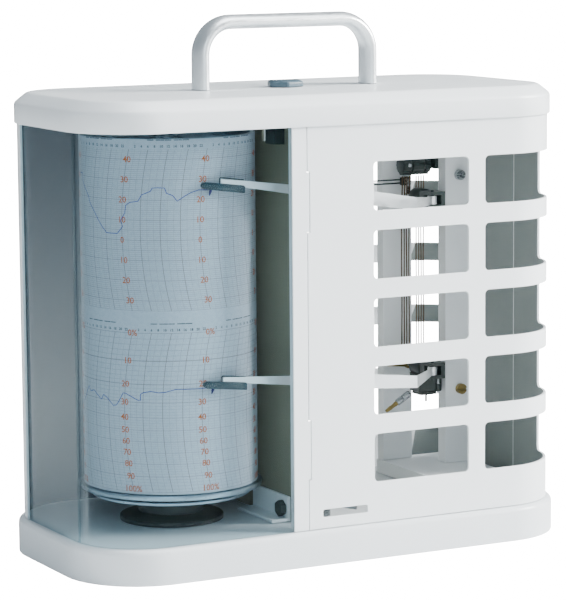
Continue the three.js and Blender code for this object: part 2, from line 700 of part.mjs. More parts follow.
function armHub(name, axisZ) {
  const hub = cut(
    box([95.5, 105.5], [8, 19.5], [axisZ - 4.6, axisZ + 4.6]),
    box([90, 103], [5, 14.6], [axisZ - 2.7, axisZ + 2.7]),
    rodY(PIVOT_X, [14, 25], axisZ, SHAFT_RADIUS + GAP),
  );
  const pin = rodZ(GATE.x, GATE.y, [axisZ - 5.6, axisZ + 5.6], 0.9, 12);
  place(name, join(hub, pin), 'dark');
}

function penMiddle(arm, x) {
  return arm.penZ + arm.penSlope * (PEN_TO - x);
}

function armStrip(name, axisZ, arm) {
  const height = (x) => arm.bendZ + arm.slope * (ARM_BEND_X - x);
  const overPen = (x) => penMiddle(arm, x) + PEN_HALF + GAP;
  const sheet = [ARM_Y - ARM_SHEET / 2, ARM_Y + ARM_SHEET / 2];
  const halfBend = 3.3;
  const halfWide = 3.9;
  const halfNeck = 1.7;
  const tip = 2;
  const front = plateY([
    [ARM_TIP_X, overPen(ARM_TIP_X)],
    [ARM_NECK_X - 0.3, overPen(ARM_NECK_X)],
    [ARM_NECK_X, height(ARM_NECK_X) - halfNeck],
    [ARM_WIDE_X, height(ARM_WIDE_X) - halfWide],
    [ARM_BEND_X, height(ARM_BEND_X) - halfBend],
    [ARM_BEND_X, height(ARM_BEND_X) + halfBend],
    [ARM_WIDE_X, height(ARM_WIDE_X) + halfWide],
    [ARM_NECK_X, height(ARM_NECK_X) + halfNeck],
    [ARM_TIP_X, overPen(ARM_TIP_X) + tip],
  ], sheet);
  const halfRoot = 2;
  const run = new THREE.Vector2(GATE.x - 2 - ARM_BEND_X, GATE.y - 3 - ARM_Y);
  const back = new THREE.Shape([
    new THREE.Vector2(0, height(ARM_BEND_X) - halfBend),
    new THREE.Vector2(run.length(), axisZ - halfRoot),
    new THREE.Vector2(run.length(), axisZ + halfRoot),
    new THREE.Vector2(0, height(ARM_BEND_X) + halfBend),
  ]);
  const strip = new THREE.ExtrudeGeometry(back, { depth: ARM_SHEET, bevelEnabled: false });
  strip.rotateX(Math.PI / 2);
  strip.rotateZ(run.angle());
  strip.translate(ARM_BEND_X - 0.25, ARM_Y + 0.2, 0);
  const eye = rodZ(GATE.x, GATE.y, [axisZ - 2.3, axisZ + 2.3], 2.7, 16);
  const neck = box([GATE.x - 3.6, GATE.x - 1.6], [GATE.y - 4.4, GATE.y - 0.6], [axisZ - 2, axisZ + 2]);
  const bore = rodZ(GATE.x, GATE.y, [axisZ - 5, axisZ + 5], 1.25, 12);
  place(name, cut(join(front, solid(strip), eye, neck), bore), 'aluminium');
}

// A felt pen cartridge with a nib under it and a clip that loops over the tip of the arm.
function penCartridge(name, arm) {
  const low = (x) => penMiddle(arm, x) - PEN_HALF;
  const high = (x) => penMiddle(arm, x) + PEN_HALF;
  const nose = 0.8;
  const body = plateY([
    [PEN_FROM, penMiddle(arm, PEN_FROM) - nose],
    [PEN_FROM + 1.6, low(PEN_FROM + 1.6)],
    [PEN_TO, low(PEN_TO)],
    [PEN_TO, high(PEN_TO)],
    [PEN_FROM + 1.6, high(PEN_FROM + 1.6)],
    [PEN_FROM, penMiddle(arm, PEN_FROM) + nose],
  ], [ARM_Y - 1.9, ARM_Y + 1.3]);
  const nibX = PEN_FROM + 5.8;
  const nib = rodBetween(
    [nibX, ARM_Y, low(nibX) + 0.4],
    [nibX, ARM_Y + 2, low(nibX) - 3],
    0.6,
    8,
  );
  const loopFrom = ARM_TIP_X - 1;
  const loopZ = 2 + 2 * GAP;
  const sheet = [ARM_Y - 0.3, ARM_Y + 0.3];
  const loop = plateY([
    [loopFrom, high(loopFrom) - 0.2],
    [loopFrom + 0.6, high(loopFrom + 0.6) - 0.2],
    [loopFrom + 0.6, high(loopFrom + 0.6) + loopZ],
    [PEN_TO, high(PEN_TO) + loopZ + 0.6],
    [PEN_TO, high(PEN_TO) + loopZ + 1.2],
    [loopFrom, high(loopFrom) + loopZ + 0.6],
  ], sheet);
  place(name, join(body, nib, loop), 'dark');
}

function makeArms() {
  armHub('temperature_hub', TEMPERATURE_Z);
  armHub('humidity_hub', HUMIDITY_Z);
  armStrip('temperature_arm', TEMPERATURE_Z, TEMPERATURE_ARM);
  armStrip('humidity_arm', HUMIDITY_Z, HUMIDITY_ARM);
  penCartridge('temperature_pen', TEMPERATURE_ARM);
  penCartridge('humidity_pen', HUMIDITY_ARM);
}

function makeShafts() {
  const crankY = [40, 41.6];
  const crankTop = TEMPERATURE_Z + 8;
  const temperature = join(
    rodY(PIVOT_X, [15, 43.5], TEMPERATURE_Z, SHAFT_RADIUS, 12),
    box([PIVOT_X - 1, PIVOT_X + 1], crankY, [TEMPERATURE_Z, crankTop + 1.2]),
    rodY(PIVOT_X, [crankY[0], 43.5], crankTop, 0.6, 8),
  );
  place('temperature_shaft', temperature, 'steel');
  place('humidity_shaft', rodY(PIVOT_X, [15, 43.5], HUMIDITY_Z, SHAFT_RADIUS, 12), 'steel');
  const lever = join(
    plateY([[86.5, HUMIDITY_Z - 0.6], [100, HUMIDITY_Z - 2], [100, HUMIDITY_Z + 2], [86.5, HUMIDITY_Z + 1.6]], crankY),
    rodY(PIVOT_X, crankY, HUMIDITY_Z, 3, 16),
  );
  const bore = rodY(PIVOT_X, [30, 50], HUMIDITY_Z, SHAFT_RADIUS + GAP, 12);
  place('hair_lever', cut(lever, bore), 'brass');
  const rodZs = [crankTop - 1, crankTop + 1];
  const rods = rodZs.map((z) => rodX([45, PIVOT_X - 2.5], 42.8, z, 0.45, 6));
  const plates = [
    box([42.5, 46.5], [42.2, 43.4], [crankTop - 2.2, crankTop + 2.2]),
    box([PIVOT_X - 4, PIVOT_X + 2.5], [42.2, 43.4], [crankTop - 2.2, crankTop + 2.2]),
  ];
  const eye = box([PIVOT_X - 1, PIVOT_X + 1], [41, 45], [crankTop - 1.6, crankTop + 1.6]);
  place('temperature_link', cut(join(...rods, ...plates), eye), 'dark');
}

// ---------------------------------------------------------------- pen lift

function makePenLift() {
  const rodX0 = LIFT.x + LIFT.offset;
  const low = 33;
  const crank = join(
    rodZ(LIFT.x, LIFT.y, [FLOOR + 0.2, low + 1], 2, 14),
    box([LIFT.x, rodX0], [LIFT.y - 1, LIFT.y + 1], [low - 1.6, low]),
    rodZ(rodX0, LIFT.y, [low - 1.6, LIFT.top], 1, 10),
    box([LIFT.x, rodX0], [LIFT.y - 1, LIFT.y + 1], [LIFT.top - 1.6, LIFT.top]),
    rodZ(LIFT.x, LIFT.y, [LIFT.top - 1.6, LIFT.top + 4], 1.6, 12),
  );
  place('pen_lift_bar', crank, 'steel');
  const reach = 18.4;
  const angle = -Math.PI / 3;
  const tip = [LIFT.x + reach * Math.cos(angle), LIFT.y + reach * Math.sin(angle)];
  const root = [LIFT.x + 2.6 * Math.cos(angle), LIFT.y + 2.6 * Math.sin(angle)];
  place('pen_lift_lever', rodBetween([root[0], root[1], 27.6], [tip[0], tip[1], 27.6], 1.1, 10), 'steel');
}

makeBase();
makeLid();
makeLouvres();
makeFrontPost();
makeWindows();
makeHandle();
makeKnob();
makeHoodPost();
makeDrum();
makeDrumDrive();
makeDivider();
makeFrame();
makeSupports();
makeHair();
makeBimetal();
makeArms();
makeShafts();
makePenLift();

export default instrument;
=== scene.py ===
"""Looks of the recording thermohygrograph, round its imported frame. Lengths are in millimetres here."""
import json
import math

import bmesh
import bpy
from mathutils import Matrix, Vector
from mathutils.geometry import delaunay_2d_cdt


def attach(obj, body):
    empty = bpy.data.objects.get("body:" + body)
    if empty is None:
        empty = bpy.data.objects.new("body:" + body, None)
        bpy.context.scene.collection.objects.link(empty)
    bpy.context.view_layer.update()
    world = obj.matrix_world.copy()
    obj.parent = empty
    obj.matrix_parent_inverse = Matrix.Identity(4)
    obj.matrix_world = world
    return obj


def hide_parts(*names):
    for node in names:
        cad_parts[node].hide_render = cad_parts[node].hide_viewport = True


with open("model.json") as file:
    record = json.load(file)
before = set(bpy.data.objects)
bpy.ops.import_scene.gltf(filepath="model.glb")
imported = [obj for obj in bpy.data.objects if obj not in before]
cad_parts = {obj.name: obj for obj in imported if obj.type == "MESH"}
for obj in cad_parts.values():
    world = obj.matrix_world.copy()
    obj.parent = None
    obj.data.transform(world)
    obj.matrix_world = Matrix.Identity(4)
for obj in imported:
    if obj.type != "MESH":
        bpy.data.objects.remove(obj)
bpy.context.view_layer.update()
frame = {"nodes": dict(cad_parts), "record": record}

MM = 0.001

# Footprints as (width, depth, corner radius), and levels, as the CAD has them.
BASE = (291.5, 142, 42.7)
HOOD = (283.7, 134.9, 37.4)
LID = (286.4, 138.4, 39.2)
GAP = 0.3
BASE_BOTTOM = 0.3
BASE_TOP = 19.2
FLOOR = BASE_TOP + GAP
SHELL_TOP = 243
LID_BOTTOM = 233
LID_TOP = 249.5
HANDLE_TOP = 289.4
FOOT_X = 118
FOOT_Y = 38

# Hood panels: sheet thicknesses, half a seam, the post with its tabs, and the louvre openings.
PANEL = 1.6
WINDOW = 2
SEAM = GAP / 2
POST_LEFT = -32
POST_RIGHT = -23
TABS = [(46.8, 78), (178, 209.3)]
TAB_REACH = 1.35
END_SEAM_Y = -9
WINDOW_END_Y = 34
LOUVRE_LEVELS = [41.5 + 36.4 * row for row in range(5)]
LOUVRE_HEIGHT = 25.9
LOUVRE_LEFT = (16.8, 75.2)
LOUVRE_RIGHT_FROM = 85.6
LOUVRE_END_Y = 34.6
LOUVRE_FILLET = 2.5
SLOT = ((-14.6, 12.2), (25.6, 29.7))
# Inner faces of the louvred panels right of this x are painted a darker grey as painted shade of the right
# end.
SHADED_FROM = 116

# Drum, pens and sensors.
DRUM_X = -71.5
DRUM_RADIUS = 46
DRUM_WALL = 1.5
DRUM_LEVELS = (41.3, 228.2)
DRUM_ROOF = 222
RIM_RADIUS = 49
RIM_LEVELS = (38, 40.7)
STAND_FOOT = 28
STAND_PLATE = 43
STAND_PLATE_LEVELS = (34.2, 36)
PAPER_RADIUS = 46.9
PAPER_SHEET = 0.35
PAPER_LEVELS = (41.2, 227.9)
ARM_Y = -50
HAIR_X = (95.7, 105.3)
HAIR_Y = 36
PIVOT_X = 100.5

# ---------------------------------------------------------------- materials


def linear(red, green, blue):
    """A display colour from 0 to 255 as linear light."""
    parts = [part / 255 for part in (red, green, blue)]
    return [
        part / 12.92 if part <= 0.04045 else ((part + 0.055) / 1.055) ** 2.4
        for part in parts
    ] + [1]


class Finish:
    """A material under construction, with short ways to add its nodes."""

    def __init__(self, name):
        self.material = bpy.data.materials.new(name)
        self.material.use_nodes = True
        self.tree = self.material.node_tree
        self.shader = self.tree.nodes["Principled BSDF"]
        self.place = self.tree.nodes.new("ShaderNodeTexCoord").outputs["Object"]

    def feed(self, socket, value):
        """Gives a socket a link or a value."""
        if isinstance(value, bpy.types.NodeSocket):
            self.tree.links.new(value, socket)
        else:
            socket.default_value = value

    def math(self, operation, *values):
        node = self.tree.nodes.new("ShaderNodeMath")
        node.operation = operation
        for socket, value in zip(node.inputs, values):
            self.feed(socket, value)
        return node.outputs[0]

    def noise(self, scale, detail=3, stretch=(1, 1, 1)):
        mapping = self.tree.nodes.new("ShaderNodeMapping")
        mapping.inputs["Scale"].default_value = stretch
        self.feed(mapping.inputs["Vector"], self.place)
        node = self.tree.nodes.new("ShaderNodeTexNoise")
        node.inputs["Scale"].default_value = scale
        node.inputs["Detail"].default_value = detail
        self.feed(node.inputs["Vector"], mapping.outputs[0])
        return node.outputs["Fac"]

    def spread(self, value, low, high):
        """A noise value spread over a range."""
        node = self.tree.nodes.new("ShaderNodeMapRange")
        node.inputs["From Min"].default_value = 0.3
        node.inputs["From Max"].default_value = 0.7
        node.inputs["To Min"].default_value = low
        node.inputs["To Max"].default_value = high
        self.feed(node.inputs["Value"], value)
        return node.outputs[0]

    def blend(self, factor, first, second):
        node = self.tree.nodes.new("ShaderNodeMix")
        node.data_type = "RGBA"
        self.feed(node.inputs["Factor"], factor)
        self.feed(node.inputs["A"], first)
        self.feed(node.inputs["B"], second)
        return node.outputs["Result"]

    def bump(self, height, strength, distance=0.0002):
        node = self.tree.nodes.new("ShaderNodeBump")
        node.inputs["Strength"].default_value = strength
        node.inputs["Distance"].default_value = distance
        self.feed(node.inputs["Height"], height)
        self.feed(self.shader.inputs["Normal"], node.outputs[0])

    def look(self, **sockets):
        for name, value in sockets.items():
            self.feed(self.shader.inputs[name.replace("_", " ")], value)


def shade(colour, factor):
    """A darker or lighter version of a colour."""
    return [part * factor for part in colour[:3]] + [1]


def painted(name, colour, roughness, grain=700, strength=0.12, coat=0.0, contrast=0.06):
    """Powder coat or moulded plastic: faint tone changes, an orange-peel skin and uneven gloss."""
    finish = Finish(name)
    tone = finish.spread(finish.noise(14, 4), 0, 1)
    colours = finish.blend(tone, shade(colour, 1 - contrast), colour)
    gloss = finish.spread(finish.noise(60, 4), roughness * 0.82, roughness * 1.15)
    finish.look(Base_Color=colours, Roughness=gloss, Coat_Weight=coat, Coat_Roughness=0.2)
    finish.bump(finish.noise(grain, 2), strength)
    return finish.material


def metal(name, colour, roughness, stretch, strength=0.1, contrast=0.2):
    """Machined or drawn metal, with fine lines along its stretch."""
    finish = Finish(name)
    lines = finish.noise(260, 4, stretch)
    tone = finish.spread(finish.noise(45, 4), 0, 1)
    colours = finish.blend(tone, shade(colour, 1 - contrast), colour)
    gloss = finish.spread(lines, roughness * 0.75, roughness * 1.3)
    finish.look(Base_Color=colours, Metallic=1.0, Roughness=gloss)
    finish.bump(lines, strength, 0.0001)
    return finish.material


def clear_sheet():
    """Clear acrylic: it lets light through and mirrors more at a slant."""
    finish = Finish("clear_acrylic")
    nodes = finish.tree.nodes
    through = nodes.new("ShaderNodeBsdfTransparent")
    through.inputs["Color"].default_value = (0.84, 0.9, 0.92, 1)
    gloss = nodes.new("ShaderNodeBsdfGlossy")
    gloss.inputs["Roughness"].default_value = 0.04
    weight = nodes.new("ShaderNodeLayerWeight")
    weight.inputs["Blend"].default_value = 0.22
    haze = finish.math("MULTIPLY", weight.outputs["Fresnel"], 0.28)
    mix = nodes.new("ShaderNodeMixShader")
    finish.feed(mix.inputs["Fac"], haze)
    finish.feed(mix.inputs[1], through.outputs[0])
    finish.feed(mix.inputs[2], gloss.outputs[0])
    finish.feed(nodes["Material Output"].inputs["Surface"], mix.outputs[0])
    nodes.remove(finish.shader)
    return finish.material


# The chart: a temperature scale above a humidity scale, ruled along the arcs that the pens draw.
ARC_RADIUS = 177
DAY = 2 * math.pi * PAPER_RADIUS / 7
LABEL_ANGLE = -1.65
TEMPERATURE_CHART = {"low": 138.5, "high": 222.7, "zero": 175.4, "degree": 1.0525, "apex": 182}
HUMIDITY_CHART = {"low": 42.5, "high": 126.9, "apex": 84}
HUMIDITY_SHARES = [0, 0.175, 0.322, 0.436, 0.531, 0.611, 0.682, 0.752, 0.823, 0.902, 1]


def arc_shift(level, apex):
    """How far round the drum an arc has moved at a level."""
    return ARC_RADIUS - math.sqrt(ARC_RADIUS ** 2 - (level - apex) ** 2)


def chart_paper_finish():
    """Paper with both grids printed on it, from the place on the drum, its white toned down to bluish grey as
    painted shade.
    """
    finish = Finish("printed_chart_paper")
    split = finish.tree.nodes.new("ShaderNodeSeparateXYZ")
    finish.feed(split.inputs[0], finish.place)
    x, y, z = (finish.math("MULTIPLY", split.outputs[axis], 1000.0) for axis in range(3))
    angle = finish.math("ARCTAN2", y, finish.math("SUBTRACT", x, float(DRUM_X)))
    around = finish.math("MULTIPLY", finish.math("SUBTRACT", angle, LABEL_ANGLE), PAPER_RADIUS)

    def rule(coordinate, pitch, width, darkness):
        """Lines of a width every pitch along a coordinate, as 0 or their darkness."""
        turns = finish.math("ADD", finish.math("DIVIDE", coordinate, pitch), 0.5)
        off = finish.math("ABSOLUTE", finish.math("SUBTRACT", finish.math("FRACT", turns), 0.5))
        hit = finish.math("LESS_THAN", off, width / 2 / pitch)
        return finish.math("MULTIPLY", hit, darkness)

    def strongest(*masks):
        total = masks[0]
        for mask in masks[1:]:
            total = finish.math("MAXIMUM", total, mask)
        return total

    def between(low, high):
        above = finish.math("GREATER_THAN", z, low)
        below = finish.math("LESS_THAN", z, high)
        return finish.math("MULTIPLY", above, below)

    def arcs(apex):
        drop = finish.math("SUBTRACT", z, float(apex))
        flat = finish.math("SUBTRACT", float(ARC_RADIUS ** 2), finish.math("MULTIPLY", drop, drop))
        shift = finish.math("SUBTRACT", float(ARC_RADIUS), finish.math("SQRT", flat))
        along = finish.math("SUBTRACT", around, shift)
        return strongest(rule(along, DAY / 12, 0.18, 0.42), rule(along, DAY / 4, 0.3, 0.8))

    upper = TEMPERATURE_CHART
    degrees = finish.math("DIVIDE", finish.math("SUBTRACT", z, upper["zero"]), upper["degree"])
    warmth = strongest(
        rule(degrees, 1, 0.2, 0.36),
        rule(degrees, 5, 0.24, 0.55),
        rule(degrees, 10, 0.3, 0.6),
        arcs(upper["apex"]),
    )
    lower = HUMIDITY_CHART
    drop = finish.math("SUBTRACT", lower["high"], z)
    share = finish.math("DIVIDE", drop, lower["high"] - lower["low"])
    curve = finish.tree.nodes.new("ShaderNodeFloatCurve")
    points = curve.mapping.curves[0].points
    for index, value in enumerate(HUMIDITY_SHARES[1:-1], start=1):
        points.new(value, index / 10)
    curve.mapping.update()
    finish.feed(curve.inputs["Value"], share)
    dampness = strongest(
        rule(curve.outputs[0], 0.02, 0.0018, 0.38),
        rule(curve.outputs[0], 0.1, 0.0034, 0.6),
        arcs(lower["apex"]),
    )
    ink = strongest(
        finish.math("MULTIPLY", warmth, between(upper["low"], upper["high"])),
        finish.math("MULTIPLY", dampness, between(lower["low"], lower["high"])),
    )
    fibre = finish.spread(finish.noise(500, 5), 0, 1)
    # The paper is a bluish grey rather than white: painted shade of the hood and window over it, with real
    # fibre tone.
    paper = finish.blend(fibre, linear(178, 186, 198), linear(190, 197, 207))
    printed = finish.blend(ink, paper, linear(112, 88, 72))
    finish.look(Base_Color=printed, Roughness=finish.spread(fibre, 0.62, 0.75))
    finish.bump(fibre, 0.05, 0.0001)
    return finish.material


WHITE = painted(
    "white_powder_coat", linear(236, 240, 242), 0.36, grain=900, strength=0.1, coat=0.15, contrast=0.03,
)
BASE_WHITE = painted("moulded_base", linear(228, 233, 236), 0.34, grain=600, coat=0.2, contrast=0.04)
GREY = painted("pale_satin_paint", linear(240, 244, 246), 0.42, grain=800, strength=0.1)
# Dark olive grey for the divider plate: painted shade beside the drum, tinted olive as a painted reflection
# of the chart.
DIVIDER_SHADE = painted("divider_painted_shade", linear(138, 136, 116), 0.38, grain=500, strength=0.1, contrast=0.15)
# Slate grey for the inside of the wall behind the drum: painted shade, the dim interior seen through the end
# window.
SLATE_SHADE = painted("slate_painted_shade", linear(78, 94, 108), 0.6, strength=0.1, contrast=0.05)
# Green-grey for the inner faces near the hood's right end: painted shade.
SHADED = painted("inner_painted_shade", linear(132, 140, 138), 0.6, strength=0.1, contrast=0.05)
# Dark green-grey oxide for small steel parts; on the drum's foot it also serves as painted shade under the
# drum.
DARK = painted("black_oxide", linear(40, 56, 54), 0.4, grain=1200, strength=0.25, contrast=0.4)
PEN = painted("pen_cartridge", linear(18, 52, 62), 0.35, grain=900, strength=0.08, coat=0.3, contrast=0.25)
NIB = painted("ink_felt", linear(38, 24, 96), 0.8, grain=2500, strength=0.4, contrast=0.3)
KNOB = painted("grey_cap", linear(66, 88, 100), 0.38, grain=900, strength=0.15)
RUBBER = painted("rubber", linear(34, 34, 36), 0.85, grain=1500, strength=0.3, contrast=0.2)
HAIR = painted("hair", linear(104, 84, 58), 0.5, grain=3000, strength=0.3, contrast=0.6)
ALUMINIUM = metal("satin_aluminium", linear(244, 248, 250), 0.4, (1, 6, 6), contrast=0.08)
RIM = metal("spun_aluminium", linear(170, 186, 198), 0.34, (1, 1, 8))
STEEL = metal("turned_steel", linear(178, 184, 188), 0.26, (1, 1, 7))
BRASS = metal("dull_brass", linear(168, 148, 96), 0.34, (1, 5, 5), contrast=0.35)
CLEAR = clear_sheet()
PAPER = chart_paper_finish()
PRINT = painted("orange_print", linear(196, 104, 50), 0.7, contrast=0.1)
TRACE = painted("violet_ink", linear(74, 70, 150), 0.6, contrast=0.2)
HEADING = painted("grey_print", linear(96, 98, 100), 0.7, contrast=0.1)

SLOTS = {
    "white_paint": WHITE, "frame_paint": GREY, "aluminium": ALUMINIUM, "steel": STEEL, "brass": BRASS,
    "black_oxide": DARK, "pen_plastic": PEN, "knob_plastic": KNOB, "rubber": RUBBER, "chart": PAPER,
    "hair": HAIR, "window": CLEAR,
}

# ---------------------------------------------------------------- shapes


class Shape:
    """Vertices in millimetres and faces, built up from simple bodies."""

    def __init__(self):
        self.points = []
        self.faces = []
        self.paints = []

    def add(self, points, faces, paint=0):
        start = len(self.points)
        self.points += [tuple(point) for point in points]
        self.faces += [[start + index for index in face] for face in faces]
        self.paints += [paint] * len(faces)

    def rings(self, rings, paint=0, closed=False):
        """A skin over rings of equal length, capped at both ends unless it closes on itself."""
        count = len(rings[0])
        faces = []
        pairs = len(rings) if closed else len(rings) - 1
        for ring in range(pairs):
            following = (ring + 1) % len(rings)
            for side in range(count):
                after = (side + 1) % count
                faces.append([
                    ring * count + side, ring * count + after,
                    following * count + after, following * count + side,
                ])
        if not closed:
            faces.append(list(range(count))[::-1])
            faces.append([(len(rings) - 1) * count + side for side in range(count)])
        self.add([point for ring in rings for point in ring], faces, paint)

    def block(self, x, y, z, paint=0):
        """A box between two values on each axis."""
        low = [(x[0], y[0], z[0]), (x[1], y[0], z[0]), (x[1], y[1], z[0]), (x[0], y[1], z[0])]
        self.rings([low, [(a, b, z[1]) for a, b, _ in low]], paint)

    def lathe(self, profile, centre, axis="Z", sides=48, paint=0, knurl=0.0, closed=False):
        """A profile of (radius, position) turned about an axis through centre.

        A closed profile makes a ring with a hole. Knurling pulls every other side in.
        """
        rings = []
        for radius, position in profile:
            ring = []
            for side in range(sides):
                angle = 2 * math.pi * side / sides
                reach = radius * (1 - knurl * (side % 2))
                a, b = reach * math.cos(angle), reach * math.sin(angle)
                local = {"X": (position, a, b), "Y": (b, position, a), "Z": (a, b, position)}[axis]
                ring.append([local[i] + centre[i] for i in range(3)])
            rings.append(ring)
        self.rings(rings, paint, closed)

    def tube(self, path, radius, sides=10, paint=0):
        """A round rod along a path of points, with radius a number or one for each point."""
        path = [Vector(point) for point in path]
        radii = radius if isinstance(radius, (list, tuple)) else [radius] * len(path)
        rings = []
        for index, point in enumerate(path):
            along = (path[min(index + 1, len(path) - 1)] - path[max(index - 1, 0)]).normalized()
            side = along.cross(Vector((0, 1, 0)))
            side = side.normalized() if side.length > 0.01 else Vector((1, 0, 0))
            other = along.cross(side)
            rings.append([
                point + radii[index] * (math.cos(a) * side + math.sin(a) * other)
                for a in (2 * math.pi * turn / sides for turn in range(sides))
            ])
        self.rings(rings, paint)


def piece(name, shape, materials, body, replaced=(), bevel=0.0, angle=35, segments=2):
    """Makes a named object of a shape, riding on a body and standing for CAD nodes."""
    mesh = bpy.data.meshes.new(name)
    mesh.from_pydata([[value * MM for value in point] for point in shape.points], [], shape.faces)
    mesh.polygons.foreach_set("material_index", shape.paints)
    mesh.update()
    work = bmesh.new()
    work.from_mesh(mesh)
    bmesh.ops.remove_doubles(work, verts=work.verts, dist=1e-7)
    bmesh.ops.recalc_face_normals(work, faces=work.faces)
    work.to_mesh(mesh)
    work.free()
    for material in materials:
        mesh.materials.append(material)
    mesh.polygons.foreach_set("use_smooth", [True] * len(mesh.polygons))
    mesh.set_sharp_from_angle(angle=math.radians(angle))
    made = bpy.data.objects.new(name, mesh)
    bpy.context.scene.collection.objects.link(made)
    if bevel:
        soften(made, bevel, segments, angle)
    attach(made, body)
    if replaced:
        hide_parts(*replaced)
    return made


def soften(made, width, segments=2, angle=35):
    """Rounds the sharp edges of an object."""
    modifier = made.modifiers.new("rounded_edges", "BEVEL")
    modifier.width = width * MM
    modifier.segments = segments
    modifier.limit_method = "ANGLE"
    modifier.angle_limit = math.radians(angle)
    modifier.harden_normals = True
    modifier.use_clamp_overlap = True


def lengths(outline):
    """Half the front, a quarter turn and half the side of an outline."""
    width, depth, corner = outline
    return width / 2 - corner, math.pi * corner / 2, depth / 2 - corner


def on_outline(outline, along, inset=0.0):
    """The point an arc length along an outline, from the middle of the front towards +X, moved inwards."""
    corner = outline[2]
    front, quarter, side = lengths(outline)
    legs = [
        (front, 0), (quarter, 1), (2 * side, 0), (quarter, 1), (2 * front, 0),
        (quarter, 1), (2 * side, 0), (quarter, 1), (front, 0),
    ]
    left = along % (4 * (front + quarter + side))
    x, y, heading = 0.0, -outline[1] / 2, 0.0
    for length, turning in legs:
        step = min(left, length)
        if turning:
            x -= math.sin(heading) * corner
            y += math.cos(heading) * corner
            heading += step / corner
            x += math.sin(heading) * corner
            y -= math.cos(heading) * corner
        else:
            x += math.cos(heading) * step
            y += math.sin(heading) * step
        left -= step
        if left <= 0:
            break
    return x - math.sin(heading) * inset, y + math.cos(heading) * inset


def outline_samples(outline, corner_steps=16):
    """Arc lengths along an outline that follow its four corners closely."""
    front, quarter, side = lengths(outline)
    half = 2 * (front + quarter + side)
    starts = [front, front + quarter + 2 * side]
    starts += [half + start for start in starts]
    return [start + quarter * step / corner_steps for start in starts for step in range(corner_steps + 1)]


def lofted(shape, outline, levels):
    """A body of an outline through (inset, level) pairs."""
    samples = outline_samples(outline)
    shape.rings([
        [(*on_outline(outline, along, inset), level) for along in samples]
        for inset, level in levels
    ])


def inside(point, polygon):
    """True if a point lies in a polygon, by crossings."""
    x, y = point
    crossings = False
    for (ax, ay), (bx, by) in zip(polygon, polygon[1:] + polygon[:1]):
        if (ay > y) != (by > y) and x < ax + (y - ay) * (bx - ax) / (by - ay):
            crossings = not crossings
    return crossings


def rounded_loop(x, z, radius, steps=5):
    """A rounded rectangle of (x, z) points."""
    corners = [
        (x[1] - radius, z[0] + radius, -90), (x[1] - radius, z[1] - radius, 0),
        (x[0] + radius, z[1] - radius, 90), (x[0] + radius, z[0] + radius, 180),
    ]
    points = []
    for cx, cz, start in corners:
        for step in range(steps + 1):
            angle = math.radians(start + 90 * step / steps)
            points.append((cx + radius * math.cos(angle), cz + radius * math.sin(angle)))
    return points


def wall(shape, border, holes, thickness, shade_paint=0, shade_from=-200):
    """A sheet of the hood wall, bent round the outline of the hood.

    Border and holes are polygons of (arc length, level). The shade paint colours the inner face from an x on,
    as painted shade.
    """
    front, quarter, side = lengths(HOOD)
    perimeter = 4 * (front + quarter + side)
    low, high = min(p[0] for p in border), max(p[0] for p in border)
    bottom, top = min(p[1] for p in border), max(p[1] for p in border)
    points, edges = [], []
    for polygon in [border, *holes]:
        start = len(points)
        count = len(polygon)
        points += [Vector(point) for point in polygon]
        edges += [(start + index, start + (index + 1) % count) for index in range(count)]
    guides = [sample - turn for sample in outline_samples(HOOD) for turn in (0, perimeter)]
    for guide in guides:
        if low + 0.3 < guide < high - 0.3:
            edges.append((len(points), len(points) + 1))
            points += [Vector((guide, bottom)), Vector((guide, top))]
    flat, _, triangles = delaunay_2d_cdt(points, edges, [], 0, 1e-4)[:3]
    kept = []
    for triangle in triangles:
        middle = sum((flat[index] for index in triangle), Vector((0, 0))) / 3
        if inside(middle, border) and not any(inside(middle, hole) for hole in holes):
            kept.append(list(triangle))
    count = len(flat)
    outer = [(*on_outline(HOOD, point.x), point.y) for point in flat]
    inner = [(*on_outline(HOOD, point.x, thickness), point.y) for point in flat]
    ways = {(a, b) for face in kept for a, b in zip(face, face[1:] + face[:1])}
    rim = [(a, b) for a, b in ways if (b, a) not in ways]
    edges = [[b, a, a + count, b + count] for a, b in rim]
    shape.add(outer + inner, kept + edges)
    shape.faces += [[index + count for index in face[::-1]] for face in kept]
    shape.paints += [shade_paint if inner[face[0]][0] > shade_from else 0 for face in kept]


def tidy_points(shape):
    """Drops the points that no face uses."""
    used = sorted({index for face in shape.faces for index in face})
    renumbered = {index: place for place, index in enumerate(used)}
    shape.points = [shape.points[index] for index in used]
    shape.faces = [[renumbered[index] for index in face] for face in shape.faces]
    return shape


def box_loop(x, z):
    """A rectangle of (x, z) points."""
    return [(x[0], z[0]), (x[1], z[0]), (x[1], z[1]), (x[0], z[1])]


# ---------------------------------------------------------------- base, lid and hood


def make_base():
    """The moulded tray with a rounded shoulder and a boss over each foot."""
    shape = Shape()
    wall_inset, ceiling, shoulder, steps = 4, BASE_TOP - 2.5, 3, 8
    levels = [
        (wall_inset, ceiling), (wall_inset, BASE_BOTTOM + 0.2), (3.8, BASE_BOTTOM), (0.6, BASE_BOTTOM),
        (0.15, BASE_BOTTOM + 0.15), (0, BASE_BOTTOM + 0.6), (0, BASE_TOP - shoulder),
    ]
    for step in range(1, steps + 1):
        angle = math.pi / 2 * step / steps
        levels.append((shoulder * (1 - math.cos(angle)), BASE_TOP - shoulder + shoulder * math.sin(angle)))
    lofted(shape, BASE, levels)
    boss = [(10, ceiling + 0.1), (10, 2.2), (9.8, 2)]
    for x in (-FOOT_X, FOOT_X):
        for y in (-FOOT_Y, FOOT_Y):
            shape.lathe(boss, (x, y, 0), sides=40)
    piece("base_moulding", shape, [BASE_WHITE], "chassis", ["base_tray"], angle=50)


